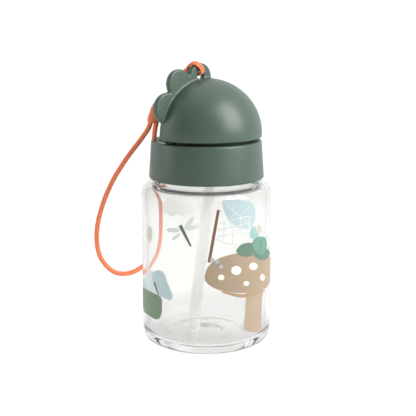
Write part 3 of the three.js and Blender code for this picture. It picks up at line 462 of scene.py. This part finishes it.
["pot_leaf_b","blue_pale",0,[[-43.18,40.32],[-42.25,41.03],[-41.22,41.74],[-40.16,42.41],[-39.14,43.01],[-38.2,43.5],[-37.38,43.85],[-36.64,44.11],[-35.95,44.31],[-35.29,44.41],[-34.68,44.4],[-34.12,44.23],[-33.61,43.89],[-33.15,43.33],[-32.74,42.57],[-32.36,41.66],[-32.01,40.67],[-31.68,39.65],[-31.35,38.68],[-30.96,37.69],[-30.5,36.6],[-30.06,35.5],[-29.73,34.44],[-29.58,33.5],[-29.71,32.74],[-30.18,32.16],[-30.98,31.68],[-32.0,31.3],[-33.16,31.01],[-34.35,30.83],[-35.44,30.75],[-36.46,30.82],[-37.52,31.02],[-38.61,31.32],[-39.71,31.69],[-40.79,32.1],[-41.81,32.51],[-42.8,32.96],[-43.78,33.47],[-44.71,34.03],[-45.54,34.63],[-46.17,35.24],[-46.52,35.87],[-46.5,36.55],[-46.16,37.29],[-45.58,38.07],[-44.84,38.85],[-44.03,39.6]]],
["pot_leaf_c","blue",0,[[-49.61,36.55],[-48.64,36.98],[-47.78,37.28],[-46.95,37.45],[-46.11,37.51],[-45.31,37.46],[-44.56,37.32],[-43.9,37.08],[-43.33,36.77],[-42.8,36.35],[-42.26,35.81],[-41.76,35.2],[-41.36,34.55],[-41.09,33.91],[-41.01,33.32],[-41.12,32.76],[-41.4,32.17],[-41.81,31.6],[-42.34,31.06],[-42.95,30.59],[-43.61,30.23],[-44.43,29.94],[-45.51,29.65],[-46.83,29.39],[-48.37,29.17],[-50.12,28.99],[-50.59,28.96],[-51.76,29.03],[-52.89,29.23],[-53.92,29.56],[-54.83,30.0],[-55.58,30.54],[-56.13,31.15],[-56.47,31.81],[-56.59,32.51],[-56.47,33.2],[-56.13,33.86],[-55.58,34.48],[-54.83,35.01],[-53.92,35.45],[-52.89,35.78],[-51.76,35.98],[-50.59,36.05]]],
["pot_leaf_vein","olive",3,[[-33.3,38.4],[-32.8,37.58],[-32.31,36.77],[-31.84,35.95],[-31.37,35.13],[-30.91,34.31],[-30.46,33.49],[-30.01,32.66],[-29.58,31.83],[-28.85,32.15],[-29.23,33.0],[-29.61,33.86],[-30.0,34.71],[-30.39,35.56],[-30.79,36.4],[-31.19,37.25],[-31.6,38.09],[-32.02,38.93]]],
["fly_wing_0","pale",0,[[-14.17,70.41],[-14.32,70.07],[-14.73,69.74],[-15.37,69.44],[-16.22,69.18],[-17.22,68.98],[-18.31,68.84],[-19.41,68.79],[-20.45,68.81],[-21.37,68.92],[-22.07,69.11],[-22.52,69.37],[-22.66,69.68],[-22.48,70.03],[-22.01,70.39],[-21.27,70.73],[-20.34,71.02],[-19.29,71.24],[-18.19,71.38],[-17.11,71.43],[-16.12,71.37],[-15.3,71.23],[-14.67,71.01],[-14.29,70.73]]],
["fly_wing_1","pale",0,[[-6.35,78.48],[-6.18,78.17],[-6.19,77.64],[-6.4,76.94],[-6.77,76.1],[-7.3,75.19],[-7.94,74.27],[-8.65,73.39],[-9.39,72.62],[-10.11,72.01],[-10.75,71.6],[-11.28,71.42],[-11.65,71.49],[-11.83,71.8],[-11.81,72.33],[-11.6,73.05],[-11.21,73.9],[-10.66,74.82],[-10.0,75.76],[-9.28,76.64],[-8.54,77.41],[-7.84,78.01],[-7.21,78.4],[-6.71,78.56]]],
["fly_wing_2","pale",0,[[-3.38,73.67],[-3.42,73.33],[-3.7,72.94],[-4.22,72.5],[-4.92,72.06],[-5.78,71.64],[-6.72,71.27],[-7.7,70.96],[-8.64,70.75],[-9.48,70.64],[-10.16,70.65],[-10.63,70.78],[-10.85,71.02],[-10.81,71.36],[-10.51,71.78],[-9.98,72.23],[-9.25,72.7],[-8.37,73.14],[-7.42,73.53],[-6.44,73.83],[-5.51,74.02],[-4.7,74.11],[-4.04,74.07],[-3.6,73.92]]],
["fly_wing_3","pale",0,[[-13.75,68.87],[-13.7,68.63],[-13.83,68.27],[-14.14,67.81],[-14.6,67.27],[-15.2,66.71],[-15.88,66.14],[-16.6,65.62],[-17.33,65.17],[-18.0,64.83],[-18.57,64.62],[-19.0,64.56],[-19.25,64.65],[-19.3,64.89],[-19.16,65.26],[-18.82,65.74],[-18.33,66.29],[-17.7,66.87],[-17.0,67.45],[-16.27,67.97],[-15.56,68.41],[-14.91,68.74],[-14.38,68.93],[-13.98,68.97]]],
["fly_body","olive",1,[[-15.07,72.65],[-14.26,71.33],[-13.46,70.0],[-12.66,68.66],[-11.88,67.33],[-11.1,65.98],[-10.32,64.64],[-9.55,63.29],[-8.78,61.93],[-7.8,62.48],[-8.47,63.9],[-9.14,65.3],[-9.82,66.71],[-10.5,68.11],[-11.18,69.51],[-11.86,70.9],[-12.55,72.29],[-13.25,73.67]]],
["cloud","cloud",0,[[-25.1,82.42],[-24.98,82.97],[-24.82,83.58],[-24.61,84.21],[-24.35,84.83],[-24.03,85.4],[-23.65,85.88],[-23.21,86.3],[-22.73,86.66],[-22.19,86.98],[-21.61,87.25],[-20.98,87.46],[-20.3,87.63],[-19.56,87.72],[-18.76,87.71],[-17.91,87.66],[-17.06,87.59],[-16.21,87.54],[-15.4,87.56],[-14.63,87.67],[-13.85,87.85],[-13.09,88.05],[-12.34,88.24],[-11.59,88.38],[-10.84,88.43],[-10.08,88.41],[-9.28,88.35],[-8.48,88.24],[-7.73,88.08],[-7.06,87.85],[-6.5,87.57],[-6.03,87.2],[-5.63,86.75],[-5.3,86.25],[-5.06,85.71],[-4.92,85.18],[-4.9,84.66],[-5.04,84.14],[-5.32,83.58],[-5.71,83.02],[-6.15,82.48],[-6.61,82.01],[-7.05,81.62],[-7.47,81.36],[-7.93,81.2],[-8.4,81.1],[-8.88,81.01],[-9.34,80.88],[-9.77,80.67],[-10.16,80.33],[-10.51,79.89],[-10.85,79.42],[-11.19,78.96],[-11.57,78.59],[-12.01,78.35],[-12.51,78.3],[-13.06,78.38],[-13.64,78.55],[-14.25,78.73],[-14.86,78.86],[-15.46,78.88],[-16.06,78.76],[-16.68,78.53],[-17.3,78.26],[-17.92,77.99],[-18.53,77.78],[-19.12,77.69],[-19.69,77.72],[-20.26,77.85],[-20.82,78.04],[-21.35,78.26],[-21.87,78.48],[-22.36,78.67],[-22.84,78.82],[-23.3,78.95],[-23.75,79.09],[-24.15,79.24],[-24.5,79.45],[-24.78,79.72],[-24.98,80.06],[-25.11,80.46],[-25.19,80.91],[-25.21,81.4],[-25.18,81.9]]],
["far_leaf","pale_brown",0,[[-34.25,65.34],[-34.38,63.97],[-34.71,62.66],[-35.22,61.52],[-35.89,60.64],[-36.66,60.08],[-37.49,59.9],[-38.32,60.11],[-39.06,60.69],[-39.66,61.6],[-40.02,62.77],[-40.12,64.12],[-39.94,65.52],[-39.49,66.86],[-38.85,68.03],[-38.07,68.93],[-37.24,69.49],[-36.42,69.65],[-35.68,69.41],[-35.06,68.8],[-34.6,67.86],[-34.32,66.67]]]]""")
PRINT_R = 36.5


def printed(name, colour, layer, outline):
    bm = bmesh.new()
    vs = [bm.verts.new((s_, z_, 0)) for s_, z_ in outline]
    f = bm.faces.new(vs)
    bmesh.ops.triangulate(bm, faces=[f])
    lo = min(v.co.x for v in bm.verts)
    hi = max(v.co.x for v in bm.verts)
    x = math.floor(lo) + 0.5
    while x < hi:
        geom = bm.verts[:] + bm.edges[:] + bm.faces[:]
        bmesh.ops.bisect_plane(bm, geom=geom, dist=1e-5, plane_co=(x, 0, 0), plane_no=(1, 0, 0))
        x += 1.0
    top = bm.faces[:]
    res = bmesh.ops.extrude_face_region(bm, geom=top)
    moved = [v for v in res["geom"] if isinstance(v, bmesh.types.BMVert)]
    for v in moved:
        v.co.z += 0.03
    base = PRINT_R + 0.02 + 0.035 * layer
    for v in bm.verts:
        a = v.co.x / PRINT_R
        r = (base + v.co.z) * MM
        z = v.co.y * MM
        d = RIGHT * math.sin(a) - AWAY * math.cos(a)
        v.co = Vector((d.x * r, d.y * r, z))
    o = finish_mesh("print_" + name, bm, INKS[colour], "bottle", (), angle=30)
    return o


for item in MOTIFS:
    printed(*item)


# ------------------------------------------------------------------ collar
prof = rounded([
    (29.6, 93.3, 0.25), (32.2, 93.3, 1.3), (31.45, 103.8, 0), (30.7, 114.34, 1.3),
    (26.5, 114.34, 0.35), (26.5, 112.8, 0.2), (29.6, 112.8, 0.2),
    (29.6, 102.2, 0.1), (29.27, 101.7, 0.15), (29.27, 100.9, 0.15), (29.6, 100.4, 0.1),
], 0.2, 6)
bm = bmesh.new()
lathe(bm, prof, 144)
finish_mesh("collar_ring", bm, mat_green, "lid", ("lid_collar",), angle=35)


# ------------------------------------------------------------------ dome with its back plate and comb
def temp(bm, name):
    bmesh.ops.remove_doubles(bm, verts=bm.verts, dist=1e-7)
    bmesh.ops.recalc_face_normals(bm, faces=bm.faces)
    me = bpy.data.meshes.new(name)
    bm.to_mesh(me)
    bm.free()
    o = bpy.data.objects.new(name, me)
    scene.collection.objects.link(o)
    return o


def disc_y(x, z, r, y0, y1, ease, segments):
    bm = bmesh.new()
    lathe(bm, [(0, y0), (r - ease, y0)] + [(r - ease + ease * math.sin(t * math.pi / 12), y0 + ease - ease * math.cos(t * math.pi / 12)) for t in range(1, 7)]
          + [(r - ease + ease * math.cos(t * math.pi / 12), y1 - ease + ease * math.sin(t * math.pi / 12)) for t in range(0, 7)] + [(0, y1)],
          segments, closed=False)
    # lathe axis Z -> Y
    bmesh.ops.transform(bm, matrix=Matrix.Translation((x * MM, 0, z * MM)) @ Matrix(((1, 0, 0, 0), (0, 0, 1, 0), (0, -1, 0, 0), (0, 0, 0, 1))), verts=bm.verts)
    return bm


def boxed(name, x0, x1, y0, y1, z0, z1):
    bm = bmesh.new()
    bmesh.ops.create_cube(bm, size=1.0)
    for v in bm.verts:
        v.co = Vector(((x0 + x1) / 2 + v.co.x * (x1 - x0), (y0 + y1) / 2 + v.co.y * (y1 - y0), (z0 + z1) / 2 + v.co.z * (z1 - z0))) * MM
    return temp(bm, name)


def rod(name, axis, a0, a1, r, u, v, segments=48):
    bm = bmesh.new()
    lathe(bm, [(0, a0), (r, a0), (r, a1), (0, a1)], segments, closed=False)
    if axis == "X":
        mx = Matrix(((0, 0, 1, 0), (1, 0, 0, u * MM), (0, 1, 0, v * MM), (0, 0, 0, 1)))
    else:
        mx = Matrix(((1, 0, 0, u * MM), (0, 0, 1, 0), (0, -1, 0, v * MM), (0, 0, 0, 1)))
    bmesh.ops.transform(bm, matrix=mx, verts=bm.verts)
    return temp(bm, name)


def boolean(o, cutter, op="DIFFERENCE"):
    mod = o.modifiers.new("b", "BOOLEAN")
    mod.operation = op
    mod.solver = "EXACT"
    mod.object = cutter
    bake(o)


def bake(o):
    dg = bpy.context.evaluated_depsgraph_get()
    me = bpy.data.meshes.new_from_object(o.evaluated_get(dg))
    o.modifiers.clear()
    old = o.data
    o.data = me
    bpy.data.meshes.remove(old)


def drop(*objs):
    for o in objs:
        me = o.data
        bpy.data.objects.remove(o)
        bpy.data.meshes.remove(me)


# quarter shell: profile in the plane of the axis, swept through the front half
a0 = math.asin((DOME_LOW_Z - HINGE_Z) / DOME_R)
b0 = math.asin((DOME_LOW_Z - HINGE_Z) / (DOME_R - 2.2))
n = 56
shell = [(DOME_R * math.cos(a0 + (math.pi / 2 - a0) * i / n), DOME_R * math.sin(a0 + (math.pi / 2 - a0) * i / n)) for i in range(n)] + [(0, DOME_R)]
shell += [(0, DOME_R - 2.2)] + [((DOME_R - 2.2) * math.cos(b0 + (math.pi / 2 - b0) * i / n), (DOME_R - 2.2) * math.sin(b0 + (math.pi / 2 - b0) * i / n)) for i in range(n - 1, -1, -1)]
bm = bmesh.new()
lathe(bm, shell, 112, centre=(0, 0, HINGE_Z), start=math.pi, sweep=math.pi)
bmesh.ops.scale(bm, vec=(SPREAD, SPREAD, 1.0), verts=bm.verts)
shell_o = temp(bm, "t_shell")

bm = disc_y(0, HINGE_Z, DOME_R, -0.42, 2.9, 0.75, 160)
bmesh.ops.scale(bm, vec=(SPREAD, 1.0, 1.0), verts=bm.verts)
parts = [temp(bm, "t_plate")]
for i, (x, v, r) in enumerate(LOBES):
    parts.append(temp(disc_y(x, HINGE_Z + v, r, -0.42, 2.9, 0.75, 72), "t_lobe%d" % i))
hole = rod("t_hole", "Y", -12, 12, HOLE[2] - 0.15, HOLE[0], HINGE_Z + HOLE[1])
below = boxed("t_below", -60, 60, -20, 20, 60, DOME_LOW_Z)
notches = [boxed("t_n0", -25.9, -22.3, -6, 6, 100, HINGE_Z + 3.95), boxed("t_n1", 22.3, 25.9, -6, 6, 100, HINGE_Z + 3.95)]
for cut in (below, *notches):
    boolean(parts[0], cut)
for p in parts[:2]:
    boolean(p, hole)
bosses = []
for sgn in (-1, 1):
    lo, hi = (25.9, DOME_R - 1.2) if sgn > 0 else (-DOME_R + 1.2, -25.9)
    bosses.append(rod("t_boss", "X", lo, hi, 3.2, 0, HINGE_Z))
bm = bmesh.new()
for o in (shell_o, *parts, *bosses):
    bm.from_mesh(o.data)
dome_raw = temp(bm, "t_dome")
mod = dome_raw.modifiers.new("r", "REMESH")
mod.mode = "VOXEL"
mod.voxel_size = (0.00042)
bake(dome_raw)
sm = dome_raw.modifiers.new("s", "SMOOTH")
sm.factor = 0.5
sm.iterations = 10
bake(dome_raw)
for sgn in (-1, 1):
    lo, hi = (24.9, 28.6) if sgn > 0 else (-28.6, -24.9)
    bore = rod("t_bore", "X", lo, hi, 1.7, 0, HINGE_Z, 32)
    boolean(dome_raw, bore)
    drop(bore)
bm = bmesh.new()
bm.from_mesh(dome_raw.data)
finish_mesh("dome_visor", bm, mat_green, "dome", ("dome_cover",), angle=50)
drop(shell_o, *parts, hole, below, *notches, *bosses, dome_raw)


# ------------------------------------------------------------------ nodes kept from the solids, with eased edges
def recolour(node, material):
    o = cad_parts[node]
    if o.data.materials:
        for i in range(len(o.material_slots)):
            o.material_slots[i].material = material
    else:
        o.data.materials.append(material)
    return o


for node, material in (("lid_deck", mat_shaded_deck), ("lid_gasket", mat_silicone), ("vent_valve", mat_silicone), ("mouthpiece_base", mat_silicone), ("pivot_pin_left", mat_steel), ("pivot_pin_right", mat_steel)):
    recolour(node, material)
    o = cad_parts[node]
    bev = o.modifiers.new("eased", "BEVEL")
    bev.width = 0.00022 if "pin" not in node else 0.0002
    bev.segments = 3
    bev.limit_method = "ANGLE"
    bev.angle_limit = math.radians(32)
    bev.harden_normals = False

# ------------------------------------------------------------------ mouthpiece tip
fold = math.radians(63)
tip_dir = Vector((0, -math.sin(fold), math.cos(fold)))
tip_at = Vector((0, -6.5, 118.2))
bm = bmesh.new()
L = 15.5
pts, rad = [], []
for i in range(15):
    t = math.pi / 2 * (i / 14)
    pts.append(-3.9 * math.cos(t))
    rad.append(max(0.0, 3.9 * math.sin(t)))
for i in range(1, 19):
    u = i / 18
    pts.append(L * u - 0.9 * u)
    bulge = 0.18 * math.exp(-((u - 0.86) / 0.08) ** 2)
    rad.append(3.9 + (3.05 - 3.9) * u ** 0.8 + bulge - 0.1 * math.sin(min(1, u / 0.25) * math.pi))
for i in range(1, 7):
    t = math.pi / 2 * i / 6
    pts.append(L - 0.9 + 0.9 * math.sin(t))
    rad.append(3.05 - 0.9 + 0.9 * math.cos(t))
k0 = next(i for i, r in enumerate(rad) if r > 1.3)
profile = [(rad[i], pts[i]) for i in range(k0, len(rad))]
profile = [(1.3, pts[k0])] + profile + [(1.3, L)]
lathe(bm, profile, 56)
q = Vector((0, 0, 1)).rotation_difference(tip_dir)
bmesh.ops.transform(bm, matrix=Matrix.Translation(tip_at * MM) @ q.to_matrix().to_4x4(), verts=bm.verts)
finish_mesh("spout_tip", bm, mat_silicone, "mouthpiece", ("mouthpiece_tip",), angle=45)

# ------------------------------------------------------------------ straw
a = Vector((0, -6.5, 109.0)) * MM
b = Vector((-23.5, -15.5, 6.0)) * MM
line = [a.lerp(b, i / 40) for i in range(41)]
bm = bmesh.new()
tube(bm, line, lambda t: 0.0034 - 0.00025 * (math.exp(-t / 0.004) + math.exp(-(1 - t) / 0.004)), 48, bore=0.0026)
finish_mesh("straw_tube", bm, mat_straw, "straw_body", ("straw",), angle=40)

# ------------------------------------------------------------------ strap
axis = (CONNECTOR_END - CONNECTOR_TOP).normalized()
wide = Vector((0.766, -0.643, 0))
wide = (wide - axis * wide.dot(axis)).normalized()


def off(q_, w, t):
    return q_ + wide * w + axis * t


# connector: tapered, flattened, with a soft ridge where the cords enter
bm = bmesh.new()
long = (CONNECTOR_END - CONNECTOR_TOP).length
sec = [(0.0, 1.15), (0.12, 1.55), (0.4, 1.9), (0.9, 2.15), (2.2, 2.35), (4.2, 2.75), (6.2, 3.2), (7.8, 3.45), (9.0, 3.56), (long - 0.9, 3.56), (long - 0.45, 3.42), (long - 0.15, 3.1), (long, 2.6)]
line = [off(CONNECTOR_TOP, 0, s_[0]) * MM for s_ in sec]
rads = [s_[1] * MM for s_ in sec]
tube(bm, line, lambda t: rads[min(len(rads) - 1, int(round(t * (len(rads) - 1))))], 40, wide=wide, flat=0.56)
conn = finish_mesh("strap_joiner", bm, mat_orange, "strap", ("strap_connector",), angle=50)

tails = []
knot = Vector(KNOT)
way = (CONNECTOR_TOP - knot).normalized()
for sgn, node in ((-1, "strap_tail_left"), (1, "strap_tail_right")):
    s0 = knot + way * 2.65 + wide * (sgn * 1.15)
    mid = knot.lerp(CONNECTOR_TOP, 0.5) + Vector((0.4, 0, -1.5)) + wide * (sgn * 1.2)
    line = [p * MM for p in catmull([s0, mid, off(CONNECTOR_TOP, sgn * 1.1, -0.4)], 12)]
    bm = bmesh.new()
    tube(bm, line, 0.00075, 16)
    tails.append(finish_mesh(node.replace("tail", "strand"), bm, mat_orange, "strap", (node,), angle=50))

# hitch: two strands through the hole, over the lobe's edge and into the knot
lat = Vector((0.87, 0, 0.5))
wrap = [Vector(p) for p in (
    KNOT, (-6.9, 4.9, 150.5), (-5.2, 3.9, 150.3), (-4.4, 1.9, 150.4), (-4.1, -0.1, 150.6), (-4.0, -1.25, 151.4), (-4.3, -1.45, 152.8),
    (-5.2, -1.4, 154.2), (-6.5, -1.25, 155.5), (-7.55, -0.75, 156.25), (-8.05, 0.6, 156.4), (-8.5, 2.2, 156.15), (-8.85, 3.6, 155.2), (-9.0, 4.6, 154.0), (-9.1, 5.2, 152.9),
)]
bm = bmesh.new()
for sgn in (-1, 1):
    line = catmull(wrap, 8)
    m_ = len(line)
    line = [(p + lat * (sgn * 0.68)) * MM for i, p in enumerate(line)]
    tube(bm, line, 0.00072, 14)
# the knot: two crossed turns
for t0, tilt in ((0.0, 0.5), (1.1, -0.6)):
    ring = []
    for i in range(34):
        a_ = 2 * math.pi * i / 33 * 0.985 + t0
        ring.append(Vector((1.25 * math.cos(a_), 1.15 * math.sin(a_) * math.cos(tilt), 1.15 * math.sin(a_) * math.sin(tilt) + 0.25 * math.cos(2 * a_))))
    rot = Vector((0, 0, 1)).rotation_difference(way)
    line = [(knot + rot @ p) * MM for p in ring]
    tube(bm, line, 0.00068, 12)
hitch = finish_mesh("strap_hitch_strands", bm, mat_orange, "dome", ("strap_hitch",), angle=60)

# the long loop
route = [off(CONNECTOR_END, -1.6, 1.1), *[Vector(p) for p in LOOP_POINTS], off(CONNECTOR_END, 1.6, 1.1)]
line = [p * MM for p in catmull(route, 6)]
line[0] = off(CONNECTOR_END, -1.6, -0.6) * MM
line[-1] = off(CONNECTOR_END, 1.6, -0.6) * MM
cu = bpy.data.curves.new("strap_cord", "CURVE")
cu.dimensions = "3D"
sp = cu.splines.new("POLY")
sp.points.add(len(line) - 1)
for pt, p in zip(sp.points, line):
    pt.co = (*p, 1)
cu.bevel_depth = 0.0014
cu.bevel_resolution = 6
cu.use_fill_caps = True
cu.materials.append(mat_orange)
loop = bpy.data.objects.new("strap_cord", cu)
scene.collection.objects.link(loop)
for s_ in cu.splines:
    s_.use_smooth = True
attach(loop, "strap")
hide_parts("strap_loop")

# ------------------------------------------------------------------ floor and light
bm = bmesh.new()
bmesh.ops.create_grid(bm, x_segments=2, y_segments=2, size=6.0)
me = bpy.data.meshes.new("floor")
bm.to_mesh(me)
bm.free()
m, nt, s = nodes_of("pale_floor")
tc, _ = noise_bump(nt, s, 60.0, 0.02, 0.0005)
varied(nt, tc, (0.06, 0.06, 0.06), (0.065, 0.065, 0.065), 4.0, s.inputs["Base Color"])
s.inputs["Roughness"].default_value = 0.9
s.inputs["Specular IOR Level"].default_value = 0.1
s.inputs["Emission Color"].default_value = (1.0, 1.0, 1.0, 1)
s.inputs["Emission Strength"].default_value = 1.0
me.materials.append(m)
floor = bpy.data.objects.new("floor", me)
floor.location = (0, 0, -0.0004)
scene.collection.objects.link(floor)

world = bpy.data.worlds.new("studio")
world.use_nodes = True
wt = world.node_tree
bg = wt.nodes["Background"]
bg.inputs["Strength"].default_value = 1.0
wtc = wt.nodes.new("ShaderNodeTexCoord")
sep = wt.nodes.new("ShaderNodeSeparateXYZ")
wt.links.new(wtc.outputs["Generated"], sep.inputs[0])
# how far a direction points away from the front
dot = wt.nodes.new("ShaderNodeVectorMath")
dot.operation = "DOT_PRODUCT"
dot.inputs[1].default_value = AWAY
wt.links.new(wtc.outputs["Generated"], dot.inputs[0])
span = wt.nodes.new("ShaderNodeMapRange")
span.inputs["From Min"].default_value = -1.0
span.inputs["From Max"].default_value = 1.0
wt.links.new(dot.outputs["Value"], span.inputs["Value"])
ramp = wt.nodes.new("ShaderNodeValToRGB")
WORLD_STOPS = ((0.0, 0.12), (0.38, 0.15), (0.52, 0.44), (0.68, 0.85), (0.8, 1.08))
while len(ramp.color_ramp.elements) < len(WORLD_STOPS):
    ramp.color_ramp.elements.new(0.5)
for el, (at_, v) in zip(ramp.color_ramp.elements, WORLD_STOPS):
    el.position = at_
    el.color = (v, v, v, 1)
wt.links.new(span.outputs["Result"], ramp.inputs["Fac"])
up = wt.nodes.new("ShaderNodeValToRGB")
up.color_ramp.elements[0].position = 0.35
up.color_ramp.elements[0].color = (0, 0, 0, 1)
up.color_ramp.elements[1].position = 0.9
up.color_ramp.elements[1].color = (0.42, 0.42, 0.42, 1)
wt.links.new(sep.outputs["Z"], up.inputs["Fac"])
mix = wt.nodes.new("ShaderNodeMix")
mix.data_type = "RGBA"
mix.blend_type = "LIGHTEN"
mix.inputs["Factor"].default_value = 1.0
wt.links.new(ramp.outputs["Color"], mix.inputs[6])
wt.links.new(up.outputs["Color"], mix.inputs[7])
wt.links.new(mix.outputs[2], bg.inputs["Color"])
scene.world = world


def light(name, where, target, size, power, size_y=None):
    d = bpy.data.lights.new(name, "AREA")
    d.energy = power
    d.size = size
    if size_y:
        d.shape = "RECTANGLE"
        d.size_y = size_y
    o = bpy.data.objects.new(name, d)
    o.location = where
    o.rotation_euler = (Vector(target) - Vector(where)).to_track_quat("-Z", "Y").to_euler()
    scene.collection.objects.link(o)


c = Vector((0, 0, 0.09))
light("key", c - AWAY * 0.38 + RIGHT * 0.70 + Vector((0, 0, 0.56)), c, 0.6, 15.5, 0.9)
light("fill", c - AWAY * 0.08 - RIGHT * 0.85 + Vector((0, 0, 0.25)), c, 0.3, 1.6, 0.6)
light("top", c + AWAY * 0.1 + Vector((0, 0, 0.8)), c, 0.6, 0.8)

scene.view_settings.view_transform = "Standard"
